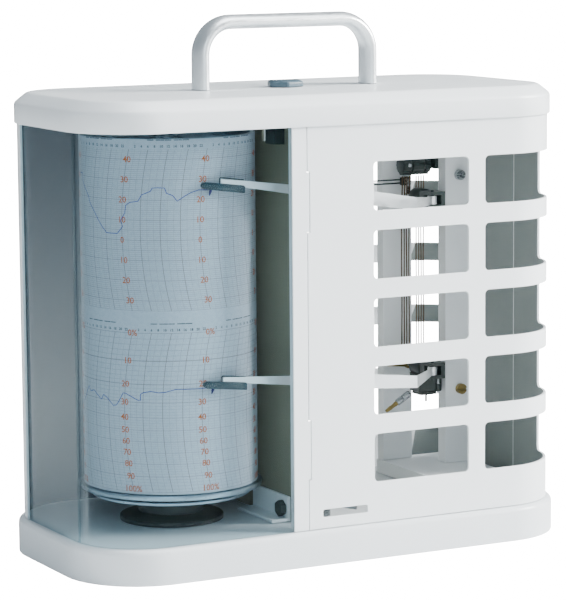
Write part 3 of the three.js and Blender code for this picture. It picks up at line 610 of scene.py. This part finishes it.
def make_lid():
    """The hollow lid, with a sloped edge that rounds into its top."""
    shape = Shape()
    skirt_wall, roof_wall, ceiling, roof = 1.05, 9, 243.9, 247.3
    inside_levels = [(roof_wall, roof), (roof_wall, ceiling), (skirt_wall, ceiling), (skirt_wall, LID_BOTTOM)]
    slope = [
        (0.25, LID_BOTTOM + 0.1), (0, LID_BOTTOM + 0.4), (0, 242.6), (0.12, 243.5), (0.5, 244.3),
        (1.1, 244.9), (5.6, 248.5), (6.5, 249.05), (7.5, 249.4), (8.6, LID_TOP),
    ]
    lofted(shape, LID, [*inside_levels, *slope])
    piece("lid_cover", shape, [WHITE], "hood", ["hood_lid"], angle=50)


def end_position(y):
    """Arc length on the right end of the hood at a depth."""
    front, quarter, side = lengths(HOOD)
    if abs(y) <= side:
        return front + quarter + side + y
    angle = math.acos((abs(y) - side) / HOOD[2])
    return front + HOOD[2] * angle if y < 0 else front + 2 * quarter + 2 * side - HOOD[2] * angle


def half_way():
    """Arc length from the middle of the front to the middle of the back."""
    return 2 * sum(lengths(HOOD))


def louvre_openings(side):
    """Five rows of two openings, on the front (side -1) or on the back (side 1)."""
    half = half_way()
    wrapped = end_position(side * LOUVRE_END_Y)
    if side < 0:
        columns = [LOUVRE_LEFT, (LOUVRE_RIGHT_FROM, wrapped)]
    else:
        columns = [(half - LOUVRE_LEFT[1], half - LOUVRE_LEFT[0]), (wrapped, half - LOUVRE_RIGHT_FROM)]
    return [
        rounded_loop(column, (level, level + LOUVRE_HEIGHT), LOUVRE_FILLET)
        for level in LOUVRE_LEVELS
        for column in columns
    ]


def make_louvres():
    """The louvred panels: the front one wraps the right end, and the rear one meets it there."""
    left = POST_RIGHT + SEAM
    seam = end_position(END_SEAM_Y)
    border = [(left, FLOOR), (seam - SEAM, FLOOR), (seam - SEAM, SHELL_TOP), (left, SHELL_TOP)]
    for low, high in TABS[::-1]:
        border += [
            (left, high + GAP), (left + TAB_REACH, high + GAP),
            (left + TAB_REACH, low - GAP), (left, low - GAP),
        ]
    slot = rounded_loop(*SLOT, 0.8, 3)
    # The second material darkens the inner faces near the right end as painted shade.
    paints = [WHITE, SHADED]
    shape = Shape()
    wall(shape, border, [*louvre_openings(-1), slot], PANEL, 1, SHADED_FROM)
    piece("louvre_panel_front", tidy_points(shape), paints, "hood", ["louvre_front"], 0.35)
    shape = Shape()
    border = box_loop((seam + SEAM, half_way() - left), (FLOOR, SHELL_TOP))
    wall(shape, border, louvre_openings(1), PANEL, 1, SHADED_FROM)
    piece("louvre_panel_rear", tidy_points(shape), paints, "hood", ["louvre_rear"], 0.35)


def make_post():
    """The front post, with tabs that reach into the louvred panel and a rib behind its edge."""
    shape = Shape()
    left, right = POST_LEFT + SEAM, POST_RIGHT - SEAM
    border = [(left, FLOOR), (right, FLOOR)]
    for low, high in TABS:
        border += [(right, low), (right + TAB_REACH, low), (right + TAB_REACH, high), (right, high)]
    border += [(right, SHELL_TOP), (left, SHELL_TOP)]
    wall(shape, border, [], PANEL)
    tidy_points(shape)
    inner = -HOOD[1] / 2 + PANEL
    rib_x, rib_depth = (POST_LEFT + 2, POST_LEFT + 3.5), 6
    shape.block(rib_x, (inner - 0.2, inner + rib_depth), (FLOOR + 1, SHELL_TOP - 1))
    piece("door_post", shape, [WHITE], "hood", ["front_post"], 0.35)


def make_windows():
    """The bent front window, the end window and the wall behind the drum, whose inside is painted slate grey
    as painted shade.
    """
    half = half_way()
    front_end = -end_position(-WINDOW_END_Y)
    rear_end = -half - front_end
    post = -half - POST_RIGHT
    clear = [CLEAR, CLEAR]
    shade_painted_inside = [WHITE, SLATE_SHADE]
    parts = [
        ("window_corner", (front_end + SEAM, POST_LEFT - SEAM), WINDOW, clear, "window_front", "window"),
        ("window_side", (rear_end + SEAM, front_end - SEAM), WINDOW, clear, "window_end", "window"),
        # The rear panel is white outside; its inner face is painted slate grey as painted shade.
        ("rear_panel", (post + SEAM, rear_end - SEAM), PANEL, shade_painted_inside, "rear_wall", "white_paint"),
    ]
    for name, stretch, thickness, materials, node, slot in parts:
        shape = Shape()
        wall(shape, box_loop(stretch, (FLOOR, SHELL_TOP)), [], thickness, 1)
        piece(name, tidy_points(shape), materials, "hood", [node], 0.3)


def make_handle():
    """A flat oval bar bent into a handle with round shoulders."""
    shape = Shape()
    half_width, half_height = 7.6, 4
    leg, bend, foot, top = 51, 17.5, LID_TOP + GAP, HANDLE_TOP - half_height
    bend_steps, sides = 14, 36
    path = [(-leg, foot, 0), (-leg, top - bend, 0)]
    for step in range(1, bend_steps + 1):
        heading = math.pi / 2 * step / bend_steps
        x = -leg + bend - bend * math.cos(heading)
        path.append((x, top - bend + bend * math.sin(heading), heading))
    mirrored = [(-x, z, math.pi - heading) for x, z, heading in path[::-1]]
    rings = []
    for x, z, heading in path + mirrored:
        ring = []
        for side in range(sides):
            angle = 2 * math.pi * side / sides
            out = half_height * math.cos(angle)
            across = half_width * math.sin(angle)
            ring.append((x - out * math.cos(heading), across, z + out * math.sin(heading)))
        rings.append(ring)
    shape.rings(rings)
    piece("handle_bar", shape, [ALUMINIUM], "hood", ["carrying_handle"], angle=50)


def make_knob():
    """A hexagonal cap with softened corners, on the stud that goes down into the post."""
    shape = Shape()
    bottom, top, radius = LID_TOP + GAP, 253.1, 10.5
    stud_radius, stud_bottom = 2, 226
    turn = math.radians(18.6)
    profile = [(1, bottom), (1, top - 1.2), (0.97, top - 0.7), (0.92, top - 0.3), (0.84, top), (0.5, top)]
    rings = []
    for scale, level in profile:
        ring = []
        for corner in range(6):
            here, there = (turn + math.pi / 3 * (corner + step) for step in (0, 1))
            for part in (0.06, 0.94):
                x = (1 - part) * math.sin(here) + part * math.sin(there)
                y = (1 - part) * math.cos(here) + part * math.cos(there)
                ring.append((radius * scale * x, radius * scale * y, level))
        rings.append(ring)
    shape.rings(rings)
    shape.lathe([(stud_radius, stud_bottom), (stud_radius, bottom + 1)], (0, 0, 0), sides=24)
    piece("hood_nut_cap", shape, [KNOB], "knob", ["hood_knob"], 0.4, angle=25)


# ---------------------------------------------------------------- drum and chart


def make_drum():
    """The chart sleeve, the rim under it and the drum they sit on."""
    centre = (DRUM_X, 0, 0)
    low, high = PAPER_LEVELS
    inner = PAPER_RADIUS - PAPER_SHEET
    sleeve = Shape()
    profile = [(inner, low), (PAPER_RADIUS, low), (PAPER_RADIUS, high), (inner, high)]
    sleeve.lathe(profile, centre, sides=160, closed=True)
    piece("chart", sleeve, [PAPER], "drum", ["chart_paper"], angle=50)
    low, high = RIM_LEVELS
    bore, edge = 8, RIM_RADIUS - 0.6
    rim = Shape()
    profile = [
        (bore, low), (edge, low), (RIM_RADIUS - 0.15, low + 0.2), (RIM_RADIUS, low + 0.7),
        (RIM_RADIUS, high - 0.7), (RIM_RADIUS - 0.15, high - 0.2), (edge, high), (bore, high),
    ]
    rim.lathe(profile, centre, sides=120, closed=True)
    piece("drum_flange", rim, [RIM], "drum", ["drum_rim"], angle=40)
    low, high = DRUM_LEVELS
    inner = DRUM_RADIUS - DRUM_WALL
    bore, ceiling = 3.5, DRUM_ROOF + DRUM_WALL
    shell = Shape()
    profile = [
        (inner, low), (DRUM_RADIUS, low), (DRUM_RADIUS, high - 0.2), (DRUM_RADIUS - 0.2, high),
        (inner + 0.2, high), (inner, high - 0.2), (inner, ceiling), (bore, ceiling),
        (bore, DRUM_ROOF), (inner, DRUM_ROOF),
    ]
    shell.lathe(profile, centre, sides=120, closed=True)
    piece("drum_body", shell, [RIM], "drum", ["drum_shell"], angle=40)


def make_stand():
    """The dark foot of the drum, whose dark green-grey also stands in as painted shade under the drum, with a
    bright plate under the rim.
    """
    centre = (DRUM_X, 0, 0)
    low, high = STAND_PLATE_LEVELS
    neck = 18
    foot = [
        (STAND_FOOT, FLOOR), (STAND_FOOT, FLOOR + 2), (STAND_FOOT - 0.5, FLOOR + 2.5),
        (neck, FLOOR + 4.8), (neck, low - 1.2), (neck - 0.5, low + 0.1),
    ]
    edge = STAND_PLATE - 0.5
    plate = [(edge, low), (STAND_PLATE, low + 0.4), (STAND_PLATE, high - 0.4), (edge, high)]
    stand = Shape()
    # The foot's dark colour is partly its oxide finish and partly painted shade under the drum.
    stand.lathe(foot, centre, sides=96)
    stand.lathe(plate, centre, sides=120, paint=1)
    piece("drum_stand", stand, [DARK, RIM], "chassis", ["drum_pedestal"], angle=30)


def on_paper(around, level, lift=0.05):
    """A point of the paper's face, from an arc length past the first label column."""
    angle = LABEL_ANGLE + around / PAPER_RADIUS
    radius = PAPER_RADIUS + lift
    return DRUM_X + radius * math.cos(angle), radius * math.sin(angle), level


def glyphs(text, height):
    """The outline faces of a short number, centred, in millimetres."""
    curve = bpy.data.curves.new("number", "FONT")
    curve.body = text
    curve.align_x = "CENTER"
    curve.resolution_u = 2
    curve.size = height * 1.45
    curve.offset = 0.07
    holder = bpy.data.objects.new("number", curve)
    mesh = bpy.data.meshes.new_from_object(holder)
    points = [(vertex.co.x, vertex.co.y - height / 2) for vertex in mesh.vertices]
    faces = [list(polygon.vertices) for polygon in mesh.polygons]
    bpy.data.objects.remove(holder)
    bpy.data.curves.remove(curve)
    bpy.data.meshes.remove(mesh)
    return points, faces


def print_number(shape, text, around, level, height=3.2, paint=0):
    """A number bent round the paper, centred on a place."""
    points, faces = glyphs(text, height)
    shape.add([on_paper(around + x, level + y) for x, y in points], faces, paint)


def scale_labels():
    """The numbers of one day's column, as (level, apex of its arc, text)."""
    upper, lower = TEMPERATURE_CHART, HUMIDITY_CHART
    labels = [
        (upper["zero"] + degree * upper["degree"], upper["apex"], str(abs(degree)))
        for degree in range(-30, 41, 10)
    ]
    last = len(HUMIDITY_SHARES) - 1
    for index, share in enumerate(HUMIDITY_SHARES):
        text = "%d" % (10 * index) + ("%" if index in (0, last) else "")
        level = lower["high"] - share * (lower["high"] - lower["low"])
        labels.append((level + (1.6 if index == last else 0), lower["apex"], text))
    return labels


def print_heading(shape, start, top):
    """Hour numbers and a row of short dashes over a chart."""
    hour_height, hour_rise, dash_levels = 1.3, 1.6, (top + 4.6, top + 5.1)
    for hour in range(1, 12):
        print_number(shape, str(2 * hour), start + hour * DAY / 12, top + hour_rise, hour_height, 1)
    for dash in range(5):
        left = start + DAY * (0.24 + 0.11 * dash)
        right = left + 3.4 + dash % 2
        corners = [(left, 0), (right, 0), (right, 1), (left, 1)]
        shape.add([on_paper(x, dash_levels[edge]) for x, edge in corners], [[0, 1, 2, 3]], 1)


def make_print():
    """Orange numbers on both scales, and a heading over each chart."""
    shape = Shape()
    labels = scale_labels()
    for day in range(7):
        for level, apex, text in labels:
            print_number(shape, text, day * DAY + arc_shift(level, apex), level)
        for chart in (TEMPERATURE_CHART, HUMIDITY_CHART):
            start = day * DAY + arc_shift(chart["high"], chart["apex"])
            print_heading(shape, start, chart["high"])
    piece("chart_print", shape, [PRINT, HEADING], "drum", ())


# The traces as (days before the pens' place, reading), and the angle of the pens round the drum.
TEMPERATURE_DAYS = [
    (0, 24.4), (0.14, 24.6), (0.24, 23.4), (0.32, 21.6), (0.4, 19.4), (0.46, 22.2), (0.54, 23.4), (0.57, 26),
    (0.66, 26.1), (0.72, 26), (0.74, 24.4), (0.85, 22.5), (0.89, 19.4), (1.0, 18.7), (1.05, 17.2),
    (1.06, 13.4), (1.12, 9.4), (1.09, 6.6), (1.17, 3), (1.34, 3), (1.45, 7.2), (1.57, 12.8),
    (1.68, 17.2), (1.72, 20.2), (1.91, 27), (1.94, 31.3), (2.02, 31.3), (2.15, 27.5),
]
HUMIDITY_DAYS = [
    (0, 22.8), (0.15, 22.8), (0.46, 22.6), (0.58, 24), (0.67, 24.4), (0.77, 23.6), (0.87, 24.6), (0.9, 25.4),
    (0.9, 28.8), (0.93, 28.8), (1.1, 25.4), (1.14, 25.2), (1.2, 30), (1.24, 32.8), (1.29, 33.2), (1.38, 29.2),
    (1.46, 27.4), (1.5, 30.4), (1.62, 27.2), (1.67, 26), (1.75, 27.2),
]
PEN_ANGLE = math.radians(-88)


def earlier(days, mean, swing):
    """Carries a trace back over the rest of the week, as a wave of day and night."""
    last, step_size, week = days[-1][0], 0.06, 5.4
    wave = []
    for step in range(1, int((week - last) / step_size)):
        time = last + step_size * step
        value = mean + swing * math.sin(2 * math.pi * time) + 0.2 * swing * math.sin(17 * time)
        wave.append((time, value))
    return days + wave


def temperature_level(value):
    """The level of a reading on the temperature scale."""
    return TEMPERATURE_CHART["zero"] + value * TEMPERATURE_CHART["degree"]


def humidity_level(value):
    """The level of a reading on the humidity scale, whose steps differ in size."""
    index = min(int(value / 10), 9)
    low, high = HUMIDITY_SHARES[index:index + 2]
    share = low + (value / 10 - index) * (high - low)
    return HUMIDITY_CHART["high"] - share * (HUMIDITY_CHART["high"] - HUMIDITY_CHART["low"])


def trace_line(readings, apex):
    """A trace as closely spaced points of (arc length round the paper, level)."""
    start = (PEN_ANGLE - LABEL_ANGLE) * PAPER_RADIUS
    first = arc_shift(readings[0][1], apex)
    line = [
        Vector((start - time * DAY + arc_shift(level, apex) - first, level))
        for time, level in readings
    ]
    fine = []
    for here, there in zip(line, line[1:]):
        steps = max(1, int((there - here).length / 1.2))
        fine += [here.lerp(there, step / steps) for step in range(steps)]
    fine.append(line[-1])
    return fine


def make_traces():
    """The line that each pen has drawn so far, as a thin ribbon on the paper."""
    shape = Shape()
    half_line, lift = 0.2, 0.08
    warm = [(time, temperature_level(value)) for time, value in earlier(TEMPERATURE_DAYS, 19, 7)]
    damp = [(time, humidity_level(value)) for time, value in earlier(HUMIDITY_DAYS, 34, 9)]
    for readings, chart in ((warm, TEMPERATURE_CHART), (damp, HUMIDITY_CHART)):
        line = trace_line(readings, chart["apex"])
        points = []
        for index, point in enumerate(line):
            along = line[min(index + 1, len(line) - 1)] - line[max(index - 1, 0)]
            across = Vector((-along.y, along.x)).normalized() * half_line
            points += [on_paper(*(point + across), lift), on_paper(*(point - across), lift)]
        faces = [[2 * i, 2 * i + 1, 2 * i + 3, 2 * i + 2] for i in range(len(line) - 1)]
        shape.add(points, faces)
    piece("pen_traces", shape, [TRACE], "drum", ())


# ---------------------------------------------------------------- pens and sensors

# The level of each pen's right end and its rise towards its nose.
PENS = {"temperature": (200.5, 0.138), "humidity": (96.7, 0.113)}
PEN_FROM = -76
PEN_TO = -51.2
PEN_HALF = 1.9


def make_pen(name, end_level, slope):
    """A felt pen cartridge, its nib below it and the clip wire over it."""
    shape = Shape()

    def middle(x):
        return end_level + slope * (PEN_TO - x)

    stations = [
        (PEN_FROM, 0.35), (PEN_FROM + 0.5, 0.62), (PEN_FROM + 1.7, 1), (PEN_TO - 0.3, 1), (PEN_TO, 0.9),
    ]
    section = []
    for x, scale in stations:
        ring = rounded_loop(
            (-1.9 * scale, 1.3 * scale), (-PEN_HALF * scale, PEN_HALF * scale), 0.7 * scale, 4,
        )
        section.append([(x, ARM_Y + y, middle(x) + z) for y, z in ring])
    shape.rings(section)
    nib = PEN_FROM + 5.8
    low = middle(nib) - PEN_HALF
    felt = [(nib, ARM_Y, low + 0.3), (nib, ARM_Y + 0.7, low - 0.9), (nib + 0.1, ARM_Y + 2, low - 3)]
    shape.tube(felt, [0.75, 0.7, 0.25], 12, 1)
    loop = -65.4
    high, lift = middle(loop) + PEN_HALF, 2.6
    wire = [
        (loop + 0.3, ARM_Y, high - 0.3),
        (loop + 0.3, ARM_Y, high + lift),
        (loop + 0.8, ARM_Y, high + lift + 0.4),
        (PEN_TO, ARM_Y, middle(PEN_TO) + PEN_HALF + lift + 0.5),
    ]
    shape.tube(wire, 0.3, 8, 2)
    materials = [PEN, NIB, DARK]
    body, node = name + "_pen_arm", name + "_pen"
    piece(name + "_cartridge", shape, materials, body, [node], angle=40)


def make_hair():
    """Two bundles of four hairs, gathered a little towards their upper clamp."""
    strands, pitch, steps = 4, 1.6, 24
    bottom, length, radius = 92.6, 100.4, 0.42
    for centre, name, lean in zip(HAIR_X, ("hair_bundle_left", "hair_bundle_right"), (1.6, 0.2)):
        shape = Shape()
        for strand in range(strands):
            x = centre + pitch * (strand - (strands - 1) / 2)
            bend = 0.4 if strand > 1 else 0.8
            path = []
            for step in range(steps + 1):
                share = step / steps
                pull = 2 * lean * bend * max(0, share - 0.75)
                wave = 0.12 * math.sin(9 * share + 2.1 * strand) * math.sin(math.pi * share)
                depth = HAIR_Y + 0.1 * math.cos(7 * share + strand)
                path.append((x + pull + wave, depth, bottom + length * share))
            shape.tube(path, radius, 8)
        piece(name + "_strands", shape, [HAIR], "chassis", [name], angle=60)


def make_upper_clamp():
    """The knurled barrel that holds the hairs at the top, with its jaw and a bright screw."""
    shape = Shape()
    barrel = [
        (3.6, 92), (4.9, 92.5), (4.9, 97.5), (4.5, 97.8), (4.5, 98.4), (5.2, 98.7), (5.2, 106),
        (4.6, 106.4), (4.6, 107), (5.1, 107.3), (5.1, 110.3), (4, 110.9),
    ]
    axis = 199.2
    shape.lathe(barrel, (0, HAIR_Y, axis), "X", 28, 0, 0.09)
    shape.block((93, 110), (HAIR_Y - 1.8, HAIR_Y + 1.8), (193.7, 196))
    shape.lathe([(1.1, -5.1), (1.1, 0)], (96, HAIR_Y, axis + 0.3), "Y", 12, 1)
    piece("hair_clamp_barrel", shape, [DARK, STEEL], "chassis", ["hair_clamp_upper"], 0.15)


def make_rod():
    """The spring rod: a stepped steel sleeve with a thinner brass rod in its lower end."""
    shape = Shape()
    top, neck, end = Vector((92.5, 26, 69.2)), Vector((84, 26, 64.2)), Vector((77, 26, 60))
    sleeve = [(0, 1.5), (0.06, 1.9), (0.1, 2), (0.5, 2), (0.54, 1.8), (0.58, 2), (0.94, 2), (1, 1.6)]
    tail = [(-0.1, 1.3), (0.2, 1.3), (0.24, 1.1), (0.5, 1.1), (0.54, 1.3), (1, 0.9)]
    shape.tube([top.lerp(neck, share) for share, _ in sleeve], [radius for _, radius in sleeve], 16, 0)
    shape.tube([neck.lerp(end, share) for share, _ in tail], [radius for _, radius in tail], 14, 1)
    piece("damping_rod", shape, [STEEL, BRASS], "chassis", ["spring_rod"], angle=40)


def make_block(name, axis, low):
    """A bearing block with a knurled lock nut and a bright adjusting pin."""
    shape = Shape()
    front, rear = 21, 32
    nut_x, nut_y = 109.6, 24
    shape.block((96, 107), (front, rear), (low, axis - 3.6))
    bore, edge, radius = 1.6, 5.0, 5.2
    profile = [
        (bore, front), (edge, front), (radius, front + 0.4), (radius, rear - 0.4), (edge, rear), (bore, rear),
    ]
    shape.lathe(profile, (PIVOT_X, 0, axis), "Y", 28, closed=True)
    shape.block((106.5, 112.7), (24, 28.3), (low + 1, axis - 4))
    nut = [(2.2, low - 0.6), (2.6, low - 0.2), (2.6, low + 3.2), (2.2, low + 3.6)]
    shape.lathe(nut, (nut_x, nut_y, 0), "Z", 24, 0, 0.08)
    shape.lathe([(0.7, low - 2), (0.7, axis - 1)], (nut_x, nut_y - 1, 0), "Z", 12, 1)
    piece(name + "_bearing", shape, [DARK, STEEL], "chassis", [name + "_block"], 0.25)


# ---------------------------------------------------------------- finishes of the CAD nodes

# Nodes that a piece above stands for.
HIDDEN = {
    "base_tray", "hood_lid", "louvre_front", "louvre_rear", "front_post", "window_front", "window_end",
    "rear_wall", "carrying_handle", "hood_knob", "chart_paper", "drum_rim", "drum_shell", "drum_pedestal",
    "temperature_pen", "humidity_pen", "hair_bundle_left", "hair_bundle_right", "hair_clamp_upper",
    "spring_rod", "temperature_block", "humidity_block",
}


def dress_nodes():
    """Gives each CAD node its finish, and softer edges to those that still show."""
    for entry in frame["record"]["subparts"]:
        node = frame["nodes"][entry["node"]]
        # The divider plate takes a dark olive grey instead of its paint slot: painted shade and painted
        # reflection.
        material = DIVIDER_SHADE if entry["node"] == "divider_plate" else SLOTS[entry["material_slot"]]
        if not node.material_slots:
            node.data.materials.append(material)
        for place in node.material_slots:
            place.link = "OBJECT"
            place.material = material
        if entry["node"] not in HIDDEN:
            smallest = min(node.dimensions) / MM
            soften(node, min(0.4, 0.12 * smallest), 2, 30)


# ---------------------------------------------------------------- stage


def make_camera():
    """A camera left of the front and a little above the lid, looking down at the middle."""
    azimuth, elevation, roll = math.radians(27.626), math.radians(7.872), math.radians(-0.466)
    place = Vector((-725.07, -1380.67, 348.44)) * MM
    level_share = math.cos(elevation)
    ahead = Vector((math.sin(azimuth) * level_share, math.cos(azimuth) * level_share, -math.sin(elevation)))
    level = Vector((math.cos(azimuth), -math.sin(azimuth), 0))
    upright = level.cross(ahead)
    right = level * math.cos(roll) + upright * math.sin(roll)
    up = upright * math.cos(roll) - level * math.sin(roll)
    data = bpy.data.cameras.new("camera")
    data.lens = 172.59
    data.sensor_width = 36
    data.clip_end = 50
    camera = bpy.data.objects.new("camera", data)
    camera.matrix_world = Matrix((
        (right.x, up.x, -ahead.x, place.x),
        (right.y, up.y, -ahead.y, place.y),
        (right.z, up.z, -ahead.z, place.z),
        (0, 0, 0, 1),
    ))
    bpy.context.scene.collection.objects.link(camera)
    bpy.context.scene.camera = camera


def lamp(name, place, size, power, colour):
    """A square soft light that faces the middle of the instrument."""
    middle = Vector((0, 0, 0.13))
    data = bpy.data.lights.new(name, "AREA")
    data.shape = "SQUARE"
    data.size = size
    data.energy = power
    data.color = colour
    made = bpy.data.objects.new(name, data)
    made.location = place
    made.rotation_euler = (middle - Vector(place)).to_track_quat("-Z", "Y").to_euler()
    bpy.context.scene.collection.objects.link(made)


def make_floor():
    """A wide pale floor that the camera sees as plain as the backdrop."""
    plane = bpy.data.meshes.new("floor")
    reach = 6
    corners = [(-reach, -reach, 0), (reach, -reach, 0), (reach, reach, 0), (-reach, reach, 0)]
    plane.from_pydata(corners, [], [[0, 1, 2, 3]])
    floor = bpy.data.objects.new("floor", plane)
    bpy.context.scene.collection.objects.link(floor)
    finish = Finish("pale_floor")
    finish.look(Base_Color=(0.9, 0.91, 0.92, 1), Roughness=0.9, Specular_IOR_Level=0.1)
    nodes = finish.tree.nodes
    glow = nodes.new("ShaderNodeEmission")
    glow.inputs["Strength"].default_value = 24
    ray = nodes.new("ShaderNodeLightPath")
    mix = nodes.new("ShaderNodeMixShader")
    finish.feed(mix.inputs["Fac"], finish.math("MULTIPLY", ray.outputs["Is Camera Ray"], 0.98))
    finish.feed(mix.inputs[1], finish.shader.outputs[0])
    finish.feed(mix.inputs[2], glow.outputs[0])
    finish.feed(nodes["Material Output"].inputs["Surface"], mix.outputs[0])
    plane.materials.append(finish.material)


def make_world():
    """A dim cool surrounding light, behind which the camera sees plain white."""
    world = bpy.data.worlds.new("studio")
    world.use_nodes = True
    bpy.context.scene.world = world
    nodes = world.node_tree.nodes
    background = nodes["Background"]
    background.inputs["Color"].default_value = (0.78, 0.9, 1, 1)
    background.inputs["Strength"].default_value = 0.42
    seen = nodes.new("ShaderNodeBackground")
    seen.inputs["Color"].default_value = (1, 1, 1, 1)
    seen.inputs["Strength"].default_value = 24
    rays = nodes.new("ShaderNodeLightPath")
    mix = nodes.new("ShaderNodeMixShader")
    links = world.node_tree.links
    links.new(rays.outputs["Is Camera Ray"], mix.inputs["Fac"])
    links.new(background.outputs[0], mix.inputs[1])
    links.new(seen.outputs[0], mix.inputs[2])
    links.new(mix.outputs[0], nodes["World Output"].inputs["Surface"])


def make_lamps():
    """A strong light from the right, a softer one from above and a weak one from the left."""
    lamp("key", (1.8, -0.95, 1.0), 0.9, 168, (1, 0.99, 0.97))
    lamp("top", (0.3, -0.3, 1.9), 1.2, 42, (0.95, 0.98, 1))
    lamp("fill", (-1.1, -1.8, 0.8), 1.2, 15, (0.84, 0.94, 1))


make_camera()
make_base()
make_lid()
make_louvres()
make_post()
make_windows()
make_handle()
make_knob()
make_drum()
make_stand()
make_print()
make_traces()
for pen_name, pen_line in PENS.items():
    make_pen(pen_name, *pen_line)
make_hair()
make_upper_clamp()
make_rod()
make_block("temperature", 181.5, 172)
make_block("humidity", 84, 70)
dress_nodes()
make_floor()
make_world()
make_lamps()
